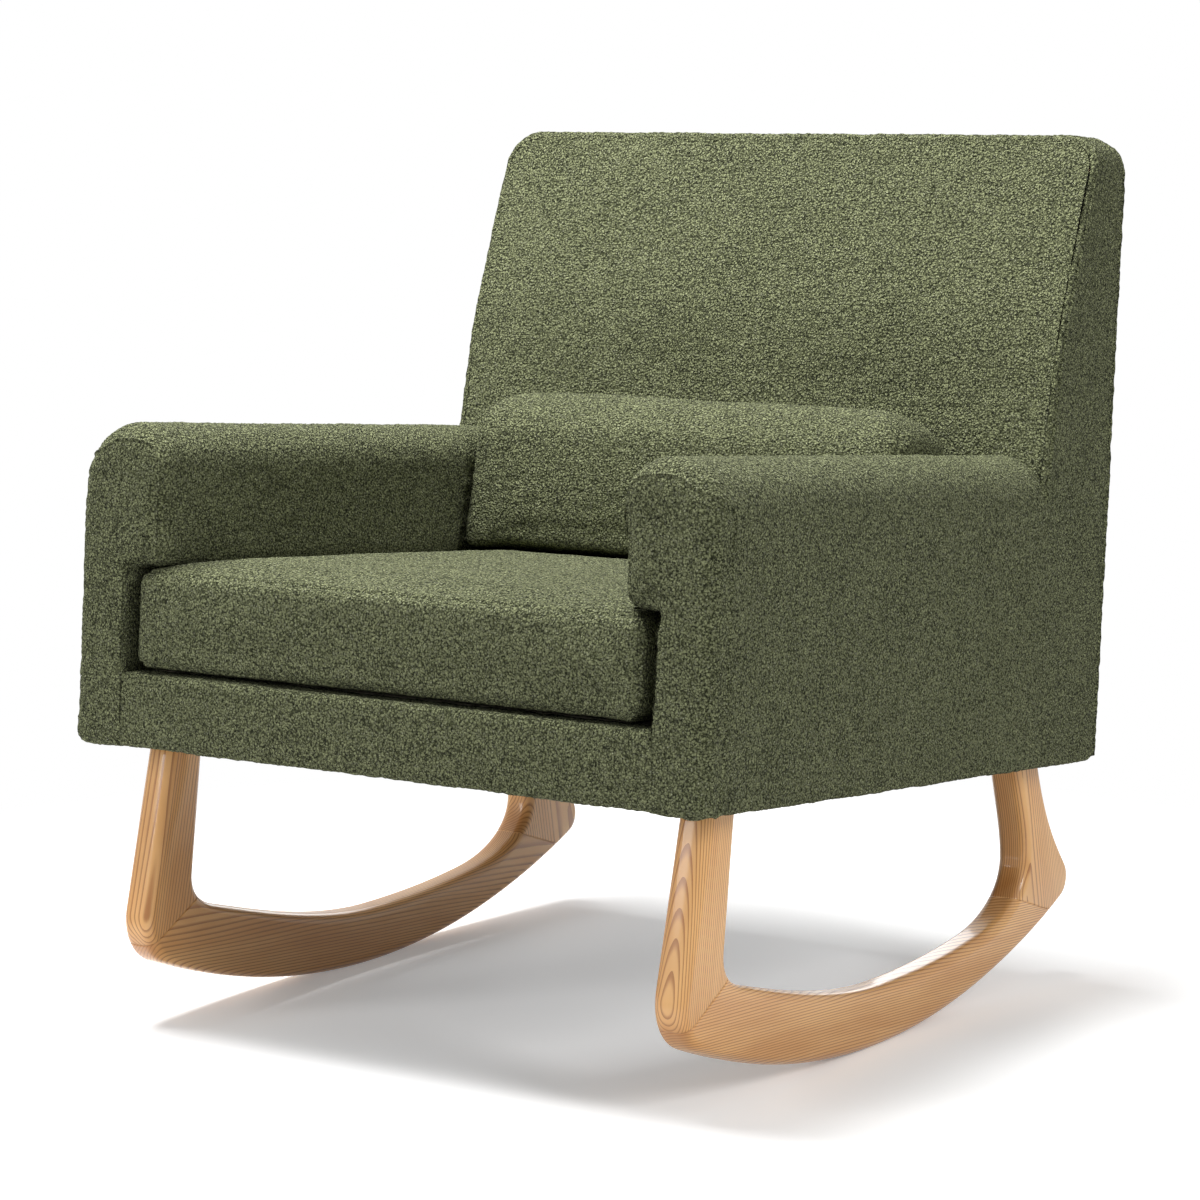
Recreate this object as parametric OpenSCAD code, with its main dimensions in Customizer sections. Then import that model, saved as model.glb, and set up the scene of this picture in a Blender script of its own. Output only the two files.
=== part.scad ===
// Upholstered rocking chair on two mitred ash rockers, in millimetres.
// The origin is on the floor under the middle of the chair, with +X to the sitter's left, which is
// the right of a view from the front, +Y to the back and +Z up. The body is drawn in its own frame,
// x across, y back along its bottom and z up from it, and is then tipped back onto the rockers.

/* [Body] */
// Width over the arms
body_w = 768; // [700:1:840]
// Depth along the bottom, from the arms' front faces to the outside back
body_d = 792; // [740:1:850]
// Angle by which the body is tipped back
body_tilt = 4.35; // [2:0.05:7]
// Height of the bottom front edge above the floor
floor_clearance = 300; // [285:1:330]
// Thickness of the cover with its wadding
skin = 8; // [6:0.5:9]
// Radius of the cover's front edges
edge_round = 12; // [11:0.5:15]
// Clearance between pieces that seat on each other
fit_gap = 0.3; // [0.2:0.05:0.5]

/* [Arms] */
// Height of the arms above the bottom
arm_top = 328; // [300:1:360]
// Width of the arm pads
arm_pad_w = 108; // [100:1:125]
// Height of the arm pads' undersides above the bottom
pad_bottom = 184; // [165:1:195]
// Width of the arms below the pads
arm_wall_w = 62; // [58:1:70]
// Radius of the arms' outer top edge
arm_outer_round = 56; // [45:1:60]
// Radius of the arms' inner top edge
arm_inner_round = 42; // [34:1:46]
// Radius of the pads' lower inner edge
pad_lip_round = 18; // [16:1:24]
// Radius in the corner under the pads
slot_round = 8; // [4:1:12]
// Depth of the facing at the front of the arms
facing_d = 24; // [20:1:30]
// Length by which the facing hangs below the bottom
facing_drop = 4; // [2:0.5:6]
// Radius of the facing's outer bottom corner
facing_foot_round = 18; // [14:1:24]

/* [Back] */
// Height of the back above the bottom
back_h = 670; // [600:1:720]
// Depth of the back at the bottom
back_foot_d = 193; // [180:1:210]
// Lean of the lower back face
back_lower_lean = 8; // [6:0.5:10]
// Lean of the upper back face
back_upper_lean = 17; // [14:0.5:18]
// Height of the bend between the lower and the upper back face
back_bend_h = 450; // [420:1:480]
// Height over which the face bends
back_bend_span = 100; // [60:5:140]
// Radius of the back's upper corners
back_corner_round = 38; // [30:1:50]
// Thickness of the foam on the back
back_foam = 15; // [12:1:22]

/* [Frame] */
// Thickness of the seat rails
rail_t = 25; // [20:1:28]
// Height of the seat rails
rail_h = 68; // [60:1:76]
// Height of the rails' undersides above the bottom edge of the cover
rail_lift = 4; // [4:0.5:5]
// Thickness of the arm boards
board_t = 18; // [15:1:20]
// Thickness of the hardboard panels
panel_t = 3; // [2.5:0.5:4]
// Height of the spring rails' upper sides above the bottom
spring_rail_top = 52; // [48:1:54]
// Height of the leg blocks
leg_block_h = 42; // [36:1:42]
// Thickness of the back stiles
stile_w = 20; // [18:1:30]
// Height of the back's cross rails
back_rail_h = 54; // [40:1:70]
// Width of the webbing straps
strap_w = 50; // [40:1:60]

/* [Springs] */
// Number of seat springs
spring_count = 4; // [3:1:5]
// Diameter of the spring wire
spring_wire = 3.8; // [3:0.1:4]
// Width of a spring
spring_w = 52; // [44:1:60]
// Number of bars in a spring
spring_bars = 21; // [15:2:23]

/* [Rockers] */
// Distance of the rockers' middles in from the body's sides
rocker_inset = 57; // [54:1:72]
// Thickness of the rockers
rocker_t = 38; // [34:1:40]
// Radius of the rockers' long edges
rocker_edge = 12; // [6:0.5:14]
// Radius of the arc that rolls on the floor
rocker_radius = 943; // [850:1:1050]
// Place of the floor contact behind the body's front edge
contact_y = 400; // [385:1:415]
// Radius of the toe
toe_round = 48; // [40:1:56]
// Lean of the front leg's front face
front_leg_lean = 13.9; // [12:0.1:15]
// Lean of the front leg's rear face
front_leg_inner_lean = 7.9; // [6:0.1:9]
// Place of the front leg's top behind the body's front edge
front_leg_y = 72.5; // [70:0.5:80]
// Depth of the front leg's top
front_leg_d = 49.5; // [46:0.5:56]
// Height at which the front leg starts to curve into the runner
front_corner_h = 157; // [150:1:165]
// Depth of the runner at its middle
runner_d = 61; // [54:1:66]
// Depth of the runner at its waist before the rear leg
waist_d = 50; // [46:1:56]
// Distance of the rear leg's top in front of the outside back
rear_leg_setback = 115; // [108:1:120]
// Depth of the rear leg's top
rear_leg_d = 54; // [48:1:60]
// Height of the middle of the rear leg's inner curve
rear_bend_h = 142; // [132:1:150]
// Radius of the heel
heel_round = 20; // [16:1:24]
// Length of the dowels across the mitres
dowel_l = 40; // [30:1:44]
// Diameter of the dowels
dowel_d = 10; // [8:0.5:11]

/* [Leg fixings] */
// Thickness of the leg plates
plate_t = 3; // [2:0.5:4]
// Width of the leg plates
plate_w = 28; // [24:1:32]
// Diameter of the bolts
bolt_d = 8; // [6:0.5:8]
// Diameter of the plate screws
screw_d = 5; // [4:0.5:6]
// Length of the plate screws
screw_l = 32; // [25:1:40]

/* [Cushions] */
// Gap between the seat cushion and an arm
cushion_side_gap = 10; // [8:1:14]
// Distance of the cushion's front behind the arms' front faces
cushion_setback = 1; // [0:0.5:6]
// Height of the cushion's crown over its edge
cushion_crown = 15.6; // [8:0.1:20]
// Radius of the cushion's upright corners
cushion_corner = 28; // [20:1:40]
// Depth by which the cushion's sides are drawn in
cushion_draw = 4; // [2:0.5:8]
// Gap between the lumbar pillow and an arm pad
pillow_side_gap = 0.5; // [0.5:0.5:25]
// Height of the lumbar pillow
pillow_h = 174; // [140:1:190]
// Thickness of the lumbar pillow
pillow_t = 120; // [90:1:124]
// Lean of the lumbar pillow
pillow_lean = 9; // [8:0.5:10]
// Crown of the pillow's broad faces
pillow_crown = 2; // [0:0.5:3]
// Length of the seat cushion's zip
seat_zip_l = 524; // [400:1:540]
// Length of the pillow's zip
pillow_zip_l = 400; // [300:1:440]

/* [Hidden] */
$fn = 40;

fabric = [0.40, 0.43, 0.30];
lining = [0.13, 0.13, 0.13];
foam = [0.90, 0.86, 0.74];
ash = [0.80, 0.66, 0.47];
beech = [0.76, 0.62, 0.44];
hardboard = [0.46, 0.33, 0.22];
steel = [0.62, 0.63, 0.65];
zip_black = [0.12, 0.12, 0.12];

// Body, from outside in
half_w = body_w / 2;
frame_x = half_w - skin - fit_gap;
frame_end = body_d - skin - fit_gap;
rail_in_x = frame_x - rail_t;
rail_top = rail_lift + rail_h;
lining_t = 0.8;
wrap_t = rail_lift - fit_gap;

// Arms
pad_x = half_w - arm_pad_w;
wall_x = half_w - arm_wall_w;
board_x = wall_x + skin + fit_gap;
board_y = facing_d + fit_gap;
frame_y = board_y + board_t + fit_gap;
arm_foam = 12;
arm_rail_top = arm_top - skin - fit_gap - arm_foam;
arm_rail_bottom = arm_rail_top - board_t;
arm_rail_w = 44;
arm_rail_x = (pad_x + half_w - arm_rail_w) / 2;
arm_post_d = 20;
arm_post_setback = 24;
cover_hem = 24;

// Seat deck
deck_top = rail_top + wrap_t + fit_gap;
deck_pad_t = 11.7;
deck_bottom = deck_top - deck_pad_t;
rail_cover_setback = 1.5;
rail_cover_t = 15.5;
front_rail_y = rail_cover_setback + rail_cover_t + fit_gap;
front_rail_end = frame_y - fit_gap;
spring_rail_setback = 164;
rear_spring_rail_y = body_d - spring_rail_setback;
rear_spring_rail_rise = 10;
deck_side_gap = 1;

// Back
back_foot_y = body_d - back_foot_d;
bend_start = back_bend_h - back_bend_span / 2;
bend_end = back_bend_h + back_bend_span / 2;
strap_t = 1.5;
foam_front = skin + fit_gap;
strap_front = foam_front + back_foam + fit_gap;
stile_front = strap_front + strap_t + fit_gap;
stile_x = frame_x - fit_gap;
stile_foot = rail_top + fit_gap;
stile_top_gap = 15;
stile_top = back_h - stile_top_gap;
stile_margin = 25;
lower_rail_lift = 12;
strap_lift = 80;
back_hem_gap = 2;
panel_recess = 4;
panel_rim = 40;
panel_round = skin;
back_steps = [0, 30, 60, 90];

// Rockers, drawn on a side view with y from the body's front edge and z from the floor
rocker_x = half_w - rocker_inset;
rear_leg_y = body_d - rear_leg_setback;
rest_front = 30;
rest_rear = 40;
leg_top_lift = 2.6;
floor_centre = [contact_y, rocker_radius];
front_top = [front_leg_y, bottom_z(front_leg_y)];
front_dir = [sin(front_leg_lean), cos(front_leg_lean)];
toe_from = front_top + toe_round * [front_dir[1], -front_dir[0]] - floor_centre;
toe_lift = toe_from * front_dir;
toe_reach = pow(rocker_radius - toe_round, 2) - toe_from * toe_from + toe_lift * toe_lift;
toe_centre = floor_centre + toe_from + (-toe_lift - sqrt(toe_reach)) * front_dir;
toe_front_angle = 180 - front_leg_lean;
toe_floor_angle = angle_to(toe_centre - floor_centre);
toe_mitre_angle = (toe_front_angle + toe_floor_angle) / 2;
toe_end_y = toe_centre[0] + toe_round * cos(toe_floor_angle);

inner_top_y = front_leg_y + front_leg_d;
inner_top = [inner_top_y, bottom_z(inner_top_y)];
corner_top = [inner_top_y - (inner_top[1] - front_corner_h) * tan(front_leg_inner_lean), front_corner_h];
corner_mid = corner_top + [-4.5, -33];
corner_end = corner_top + [37, -44.5];
runner_mid_out = 20;
runner_mid = [contact_y + runner_mid_out, runner_d];
waist_setback = 67;
waist_y = rear_leg_y - waist_setback;
waist = [waist_y, floor_z(waist_y) + waist_d];
waist_skew = 15;
waist_floor_y = waist_y + waist_skew;
bulge_out = 27;
bulge = [rear_leg_y + bulge_out, rear_bend_h];
rear_inner_top = [rear_leg_y, bottom_z(rear_leg_y)];
rear_outer_y = rear_leg_y + rear_leg_d;
rear_outer_top = [rear_outer_y, bottom_z(rear_outer_y)];

front_curve = [corner_end, corner_end + [100, -27.5], runner_mid - [90, 0], runner_mid];
middle_curve = [runner_mid, runner_mid + [60, 0], waist - [60, 9], waist];
bulge_curve = [waist, waist + [55, 9], bulge - [0, 37], bulge];
rear_curve = [bulge, bulge + [0, 30], bulge + [-12, 63], rear_inner_top];
mitre_share = 0.55;

heel_out = 108;
heel_y = rear_leg_y + heel_out;
heel_reach = rocker_radius - heel_round;
heel_centre = [heel_y, rocker_radius - sqrt(pow(heel_reach, 2) - pow(heel_y - contact_y, 2))];
heel_floor_angle = angle_to(heel_centre - floor_centre) - 360;
heel_rear_angle = 40;
heel_floor_y = heel_centre[0] + heel_round * cos(heel_floor_angle);
heel_top = heel_centre + heel_round * [cos(heel_rear_angle), sin(heel_rear_angle)];
heel_pull = 38;
heel_rise = heel_pull * [-sin(heel_rear_angle), cos(heel_rear_angle)];
heel_curve = [heel_top, heel_top + heel_rise, bulge + [46, 30], rear_outer_top];
rear_mitre_setback = 28;
rear_mitre_y = heel_floor_y - rear_mitre_setback;

front_mitre = [toe_point(toe_mitre_angle), bezier2(corner_top, corner_mid, corner_end, 0.5)];
rear_mitre = [floor_point(rear_mitre_y), bezier3(bulge_curve, mitre_share)];
dowel_offset = 9;
dowel_clear = 0.05;

// Leg fixings, in the body's frame
plate_in = 65;
plate_out = 13;
leg_mids = [body_y(front_leg_y + front_leg_d / 2), body_y(rear_leg_y + rear_leg_d / 2)];
bolt_ins = [55, 31];
bolt_xs = [for (d = bolt_ins) rocker_x - d];
screw_outs = [-8, 6];
screw_xs = [for (d = screw_outs) rocker_x + d];
block_in = 69;
block_top = rail_lift + leg_block_h;
front_block_y = frame_y + rail_t + fit_gap;
block_d = 74;
front_block_end = front_block_y + block_d;
rear_block_gap = 8;
rear_block_y = rear_spring_rail_y + rail_t + rear_block_gap;
rear_block_end = frame_end - rail_t - fit_gap;
nut_barrel_d = bolt_d + 2;
nut_barrel_l = 9;
nut_flange_d = 22;
nut_flange_t = 1.5;
bolt_head_d = bolt_d + 6;
bolt_head_t = 4;
thread_clear = 0.1;
hole_clear = 0.3;
sunk_clear = 0.05;

// Springs
spring_from = frame_y + rail_t / 2;
spring_to = rear_spring_rail_y + rail_t / 2;
spring_pitch = (spring_to - spring_from) / (spring_bars - 1);
spring_end_gap = 90;
spring_spread = 2 * (rail_in_x - spring_end_gap);
clip_w = 16;
clip_d = 14;
clip_h = 7;
spring_seat = spring_rail_top + fit_gap + clip_h / 2;
spring_crown = deck_bottom - fit_gap - spring_wire / 2;
wire_sides = 6;

// Cushions
cushion_x = wall_x - cushion_side_gap;
cushion_lift = 2.3;
cushion_bottom = deck_top + cushion_lift;
cushion_pad_gap = 0.6;
cushion_edge = pad_bottom - cushion_pad_gap;
cushion_front = cushion_setback;
cushion_back_gap = 3.7;
cushion_rear = back_face(deck_top) - cushion_back_gap;
cushion_side_round = 20;
cushion_top_round = 22;
cushion_bottom_round = 14;
cushion_flat = 230;
pillow_mid_setback = 30;
pillow_mid_y = back_face(0) - pillow_mid_setback;
pillow_mid_rise = 99.6;
pillow_mid_z = cushion_edge + pillow_mid_rise;
pillow_x = pad_x - pillow_side_gap;
pillow_rounds = [35, 40, 62, 22];
tape_w = 24;
tape_t = 1;
chain_w = 6;
chain_t = 1.6;
slider_l = 12;
slider_w = 12;
slider_t = 4.9;
slider_end_gap = 6;
seat_zip_rise = 49;
seat_zip_z = deck_top + seat_zip_rise;
pillow_zip_z = -40;

// The chair's middle, from its foremost and rearmost points
front_most = min([for (a = back_steps) body_point_y(edge_round * (1 - cos(a)),
    edge_round * (1 - sin(a)) - facing_drop)]);
rear_most = max([for (a = back_steps) body_point_y(frame_end + fit_gap + panel_round * sin(a),
    back_h - panel_round * (1 - cos(a)))]);
middle_y = (front_most + rear_most) / 2;

// Curves and places

function mix(a, b, t) = a + (b - a) * t;

function angle_to(p) = (atan2(p[1], p[0]) + 360) % 360;

function bezier2(a, b, c, t) = mix(mix(a, b, t), mix(b, c, t), t);

function bezier3(p, t) = mix(bezier2(p[0], p[1], p[2], t), bezier2(p[1], p[2], p[3], t), t);

function arc_points(centre, radius, from, to, steps) = [for (k = [0:steps])
    let (a = mix(from, to, k / steps)) centre + radius * [cos(a), sin(a)]];

// Height of the rolling arc over the floor at y, and the point on it
function floor_z(y) = rocker_radius - sqrt(pow(rocker_radius, 2) - pow(y - contact_y, 2));
function floor_point(y) = [y, floor_z(y)];
function toe_point(a) = toe_centre + toe_round * [cos(a), sin(a)];

// Height of the legs' tops at y, in the side view
function bottom_z(y) = floor_clearance - y * tan(body_tilt) + leg_top_lift / cos(body_tilt);

// A side view's y for a point of the body, and the body's y for a leg top's place
function body_point_y(y, z) = y * cos(body_tilt) + z * sin(body_tilt);
function body_y(side_y) = (side_y - leg_top_lift * sin(body_tilt)) / cos(body_tilt);

// Front face of the back at height z: a lower and an upper slope with a smooth bend between them
function back_bend(z) = z < bend_start ? 0
    : z > bend_end ? z - back_bend_h
    : pow(z - bend_start, 2) / (2 * back_bend_span);
function back_face(z) = back_foot_y + z * tan(back_lower_lean)
    + back_bend(z) * (tan(back_upper_lean) - tan(back_lower_lean));
function back_levels(from, to) = concat([from],
    [for (k = [0:5]) let (z = bend_start + back_bend_span * k / 5) if (z > from && z < to) z], [to]);

// Outline of the right arm in x and z, drawn in by inset, from its outer to its inner foot
function arm_outline(inset, base) = concat(
    [[half_w - inset, base]], arm_upper_outline(inset), [[wall_x + inset, base]]);
function arm_upper_outline(inset) = concat(
    arc_points([half_w - arm_outer_round, arm_top - arm_outer_round], arm_outer_round - inset, 0, 90, 7),
    arc_points([pad_x + arm_inner_round, arm_top - arm_inner_round], arm_inner_round - inset, 90, 180, 7),
    arc_points([pad_x + pad_lip_round, pad_bottom + pad_lip_round], pad_lip_round - inset, 180, 270, 4),
    arc_points([wall_x - slot_round, pad_bottom - slot_round], slot_round + inset, 90, 0, 3));

// The same outline with the facing's rounded foot
function facing_outline(inset) = concat(
    [[wall_x + inset, inset - facing_drop]],
    arc_points([half_w - facing_foot_round, facing_foot_round - facing_drop],
        facing_foot_round - inset, -90, 0, 4),
    arm_upper_outline(inset));

// Outline of the back in x and z, drawn in by inset, up the right side and down the left
function back_side(inset, base) = concat(
    [for (z = back_levels(base, back_h - back_corner_round - 1)) [half_w - inset, z]],
    arc_points([half_w - back_corner_round, back_h - back_corner_round],
        back_corner_round - inset, 0, 90, 6));
function back_outline(inset, base) = let (side = back_side(inset, base), n = len(side))
    concat(side, [for (k = [n - 1:-1:0]) [-side[k][0], side[k][1]]]);

// Building blocks

module in_body() translate([0, -middle_y, floor_clearance]) rotate([-body_tilt, 0, 0]) children();

module on_floor() translate([0, -middle_y, 0]) children();

module both_sides() {
    children();
    mirror([1, 0, 0]) children();
}

module box(from, to) translate(from) cube(to - from);

// A drawing in x and z, drawn out along y, with its ends at the two places
module along_y(from, to) translate([0, to, 0]) rotate([90, 0, 0]) linear_extrude(to - from) children();

// A drawing in y and z, drawn out along x
module along_x(from, to) translate([from, 0, 0]) rotate([90, 0, 90]) linear_extrude(to - from) children();

// Skin over a row of rings with equal counts of points, with flat ends
module loft(rings) {
    n = len(rings[0]);
    last = n * (len(rings) - 1);
    polyhedron(
        points = [for (ring = rings, p = ring) p],
        faces = concat(
            [[for (k = [0:n - 1]) k]],
            [for (j = [0:n:last - n], k = [0:n - 1]) [j + k, j + n + k, j + (k + 1) % n]],
            [for (j = [0:n:last - n], k = [0:n - 1]) [j + (k + 1) % n, j + n + k, j + n + (k + 1) % n]],
            [[for (k = [n - 1:-1:0]) last + k]]));
}

// The same from front to rear between rings in x and z that are symmetric about x = 0, where strips
// across x close the ends
module symmetric_loft(rings) {
    n = len(rings[0]);
    last = n * (len(rings) - 1);
    polyhedron(
        points = [for (ring = rings, p = ring) p],
        faces = concat(
            [for (k = [0:n / 2 - 2]) [n - 1 - k, n - 2 - k, k + 1, k]],
            [for (j = [0:n:last - n], k = [0:n - 1]) [j + (k + 1) % n, j + n + k, j + k]],
            [for (j = [0:n:last - n], k = [0:n - 1]) [j + n + (k + 1) % n, j + n + k, j + (k + 1) % n]],
            [for (k = [0:n / 2 - 2]) [last + k, last + k + 1, last + n - 2 - k, last + n - 1 - k]]));
}

// Rockers

// Rounded section of a leg or runner between an outer and an inner point of the side view
function rocker_ring(outer, inner) = let (
    depth = norm(inner - outer),
    across = (inner - outer) / depth,
    round = min(rocker_edge, rocker_t / 2 - 1, depth / 2 - 1))
    [for (corner = [0:3], k = [0:4]) let (
        a = 90 * corner + 22.5 * k,
        side = corner == 0 || corner == 3 ? -1 : 1,
        end = corner < 2 ? 1 : -1,
        x = side * (rocker_t / 2 - round) - round * cos(a),
        d = depth / 2 + end * (depth / 2 - round) + round * sin(a))
        [x, outer[0] + across[0] * d, outer[1] + across[1] * d]];

module rocker_piece(outer, inner)
    translate([rocker_x, 0, 0]) loft([for (k = [0:len(outer) - 1]) rocker_ring(outer[k], inner[k])]);

// A pair of round rods across a mitre, which are the dowels or their bores
module mitre_rods(mitre, diameter, length) {
    along = mitre[1] - mitre[0];
    middle = (mitre[0] + mitre[1]) / 2;
    for (side = [-1, 1])
        translate([rocker_x + side * dowel_offset, middle[0], middle[1]])
            rotate([atan2(along[1], along[0]), 0, 0])
                cylinder(d = diameter, h = length, center = true);
}

module dowel_bores(mitre) mitre_rods(mitre, dowel_d + 2 * dowel_clear, dowel_l + 2);

// Recess for a leg plate and bores for its screws, in a leg's top
module leg_top_cuts(y) in_leg_frame() {
    translate([rocker_x - plate_in, y - plate_w / 2 - fit_gap, leg_top_lift - plate_t - fit_gap])
        cube([plate_in + plate_out + fit_gap, plate_w + 2 * fit_gap, plate_t + 10]);
    for (x = screw_xs)
        translate([x, y, leg_top_lift - screw_l - 1])
            cylinder(d = screw_d + 2 * thread_clear, h = screw_l + 1);
}

module in_leg_frame() translate([0, 0, floor_clearance]) rotate([-body_tilt, 0, 0]) children();

module front_leg_form() difference() {
    rocker_piece(
        concat([for (k = [0:5]) mix(front_top, toe_point(toe_front_angle), k / 6)],
            [for (k = [0:4]) toe_point(mix(toe_front_angle, toe_mitre_angle, k / 4))]),
        concat([for (k = [0:5]) mix(inner_top, corner_top, k / 6)],
            [for (k = [0:4]) bezier2(corner_top, corner_mid, corner_end, k / 8)]));
    dowel_bores(front_mitre);
    leg_top_cuts(leg_mids[0]);
}

module runner_form() difference() {
    rocker_piece(
        concat([for (k = [0:3]) toe_point(mix(toe_mitre_angle, toe_floor_angle, k / 4))],
            [for (k = [0:4]) floor_point(mix(toe_end_y, contact_y - rest_front, k / 5))],
            [[contact_y - rest_front, 0], [contact_y + rest_rear, 0]],
            [for (k = [1:3]) floor_point(mix(contact_y + rest_rear, waist_floor_y, k / 4))],
            [for (k = [0:8]) floor_point(mix(waist_floor_y, rear_mitre_y, k / 8))]),
        concat([for (k = [0:3]) bezier2(corner_top, corner_mid, corner_end, 0.5 + k / 8)],
            [for (k = [0:5]) bezier3(front_curve, k / 6)],
            [for (k = [0:3]) bezier3(middle_curve, k / 4)],
            [for (k = [0:8]) bezier3(bulge_curve, mitre_share * k / 8)]));
    dowel_bores(front_mitre);
    dowel_bores(rear_mitre);
}

module rear_leg_form() difference() {
    rocker_piece(
        concat([for (k = [0:1]) floor_point(mix(rear_mitre_y, heel_floor_y, k / 2))],
            arc_points(heel_centre, heel_round, heel_floor_angle, heel_rear_angle, 5),
            [for (k = [1:9]) bezier3(heel_curve, k / 9)]),
        concat([for (k = [0:4]) bezier3(bulge_curve, mix(mitre_share, 1, k / 5))],
            [for (k = [0:11]) bezier3(rear_curve, k / 11)]));
    dowel_bores(rear_mitre);
    leg_top_cuts(leg_mids[1]);
}

module right_front_leg() color(ash) on_floor() front_leg_form();
module left_front_leg() color(ash) on_floor() mirror([1, 0, 0]) front_leg_form();
module right_runner() color(ash) on_floor() runner_form();
module left_runner() color(ash) on_floor() mirror([1, 0, 0]) runner_form();
module right_rear_leg() color(ash) on_floor() rear_leg_form();
module left_rear_leg() color(ash) on_floor() mirror([1, 0, 0]) rear_leg_form();

module mitre_dowels() color(beech) on_floor() both_sides() {
    mitre_rods(front_mitre, dowel_d, dowel_l);
    mitre_rods(rear_mitre, dowel_d, dowel_l);
}

// Leg fixings

module leg_plates() color(steel) in_body() both_sides() for (y = leg_mids) difference() {
    translate([rocker_x - plate_in, y - plate_w / 2, leg_top_lift - plate_t])
        cube([plate_in + plate_out, plate_w, plate_t]);
    for (x = bolt_xs) plate_hole(x, y, bolt_d);
    for (x = screw_xs) plate_hole(x, y, screw_d);
}
module plate_hole(x, y, d) translate([x, y, leg_top_lift - plate_t - 1])
    cylinder(d = d + 2 * hole_clear, h = plate_t + 2);

module plate_bolts() color(steel) in_body() both_sides() for (y = leg_mids, x = bolt_xs)
    translate([x, y, leg_top_lift - plate_t - fit_gap]) {
        translate([0, 0, -bolt_head_t]) cylinder(d = bolt_head_d, h = bolt_head_t, $fn = 6);
        cylinder(d = bolt_d - 2 * thread_clear, h = block_top - leg_top_lift + plate_t);
    }

module t_nuts() color(steel) in_body() both_sides() for (y = leg_mids, x = bolt_xs)
    translate([x, y, block_top]) difference() {
        union() {
            cylinder(d = nut_flange_d, h = nut_flange_t);
            translate([0, 0, -nut_barrel_l]) cylinder(d = nut_barrel_d, h = nut_barrel_l + 0.5);
        }
        translate([0, 0, -nut_barrel_l - 1]) cylinder(d = bolt_d, h = nut_barrel_l + nut_flange_t + 2);
    }

module plate_screws() color(steel) in_body() both_sides() for (y = leg_mids, x = screw_xs)
    translate([x, y, leg_top_lift - screw_l]) cylinder(d = screw_d, h = screw_l);

module leg_block(from, to, y) difference() {
    box([rocker_x - block_in, from, rail_lift], [rail_in_x - fit_gap, to, block_top]);
    for (x = bolt_xs) translate([x, y, 0]) {
        cylinder(d = bolt_d + 2 * hole_clear, h = block_top + 1);
        translate([0, 0, block_top - nut_barrel_l])
            cylinder(d = nut_barrel_d + 2 * sunk_clear, h = nut_barrel_l + 1);
    }
}

module leg_blocks() color(beech) in_body() both_sides() {
    leg_block(front_block_y, front_block_end, leg_mids[0]);
    leg_block(rear_block_y, rear_block_end, leg_mids[1]);
}

// Seat frame

module front_rail() color(beech) in_body()
    box([fit_gap * 2 - wall_x, front_rail_y, rail_lift],
        [wall_x - fit_gap * 2, front_rail_end, rail_top]);

module rear_rail() color(beech) in_body()
    box([fit_gap - rail_in_x, frame_end - rail_t, rail_lift],
        [rail_in_x - fit_gap, frame_end, rail_top]);

module side_rail_form() box([rail_in_x, frame_y, rail_lift], [frame_x, frame_end, rail_top]);

module right_side_rail() color(beech) in_body() side_rail_form();
module left_side_rail() color(beech) in_body() mirror([1, 0, 0]) side_rail_form();

module front_spring_rail() color(beech) in_body()
    box([fit_gap - rail_in_x, frame_y, rail_lift],
        [rail_in_x - fit_gap, frame_y + rail_t, spring_rail_top]);

module rear_spring_rail() color(beech) in_body()
    box([fit_gap - rail_in_x, rear_spring_rail_y, rail_lift + rear_spring_rail_rise],
        [rail_in_x - fit_gap, rear_spring_rail_y + rail_t, spring_rail_top]);

// Sinuous spring: bars across x with a half turn between each two, crowned along its length
function spring_height(y) = mix(spring_seat, spring_crown,
    min(1, 8 * (y - spring_from) * (spring_to - y) / pow(spring_to - spring_from, 2)));
function spring_path() = let (arm = (spring_w - spring_pitch) / 2, bend = spring_pitch / 2)
    [for (bar = [0:spring_bars - 1], k = [0:3]) let (
        side = bar % 2 == 0 ? 1 : -1,
        y = spring_from + bar * spring_pitch,
        turn = k == 2 ? [arm + bend * sin(60), bend - bend * cos(60)]
            : [arm + bend * sin(60), bend + bend * cos(60)])
        if (k < 2 || bar < spring_bars - 1)
            k == 0 ? [-side * arm, y, spring_height(y)]
            : k == 1 ? [side * arm, y, spring_height(y)]
            : [side * turn[0], y + turn[1], spring_height(y + turn[1])]];

// Tube of flat sides round a path that never runs upright
module wire(path, diameter, sides) {
    last = len(path) - 1;
    loft([for (k = [0:last]) let (
        ahead = path[min(k + 1, last)] - path[max(k - 1, 0)],
        run = ahead / norm(ahead),
        flat = cross(run, [0, 0, 1]),
        out = flat / norm(flat),
        rise = cross(out, run))
        [for (s = [0:sides - 1]) let (a = -360 * s / sides)
            path[k] + diameter / 2 * (cos(a) * out + sin(a) * rise)]]);
}

spring_xs = [for (k = [0:spring_count - 1]) spring_spread * ((k + 0.5) / spring_count - 0.5)];

module seat_springs() color(steel) in_body() for (x = spring_xs)
    translate([x, 0, 0]) wire(spring_path(), spring_wire, wire_sides);

module spring_clips() color(steel) in_body() for (x = spring_xs, y = [spring_from, spring_to])
    translate([x, y, spring_seat]) difference() {
        cube([clip_w, clip_d, clip_h], center = true);
        rotate([0, 90, 0]) cylinder(d = spring_wire + 2 * hole_clear, h = clip_w + 2, center = true);
    }

module deck_pad() color(foam) in_body()
    box([deck_side_gap - wall_x, frame_y, deck_bottom],
        [wall_x - deck_side_gap, rear_spring_rail_y, deck_top]);

module dust_cover() color(lining) in_body() difference() {
    box([2 * fit_gap - rail_in_x, cover_hem + front_rail_y, rail_lift - fit_gap - lining_t],
        [rail_in_x - 2 * fit_gap, frame_end, rail_lift - fit_gap]);
    both_sides() for (y = leg_mids, x = bolt_xs)
        translate([x, y, 0]) cylinder(d = bolt_d + 2, h = rail_lift);
}

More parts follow.
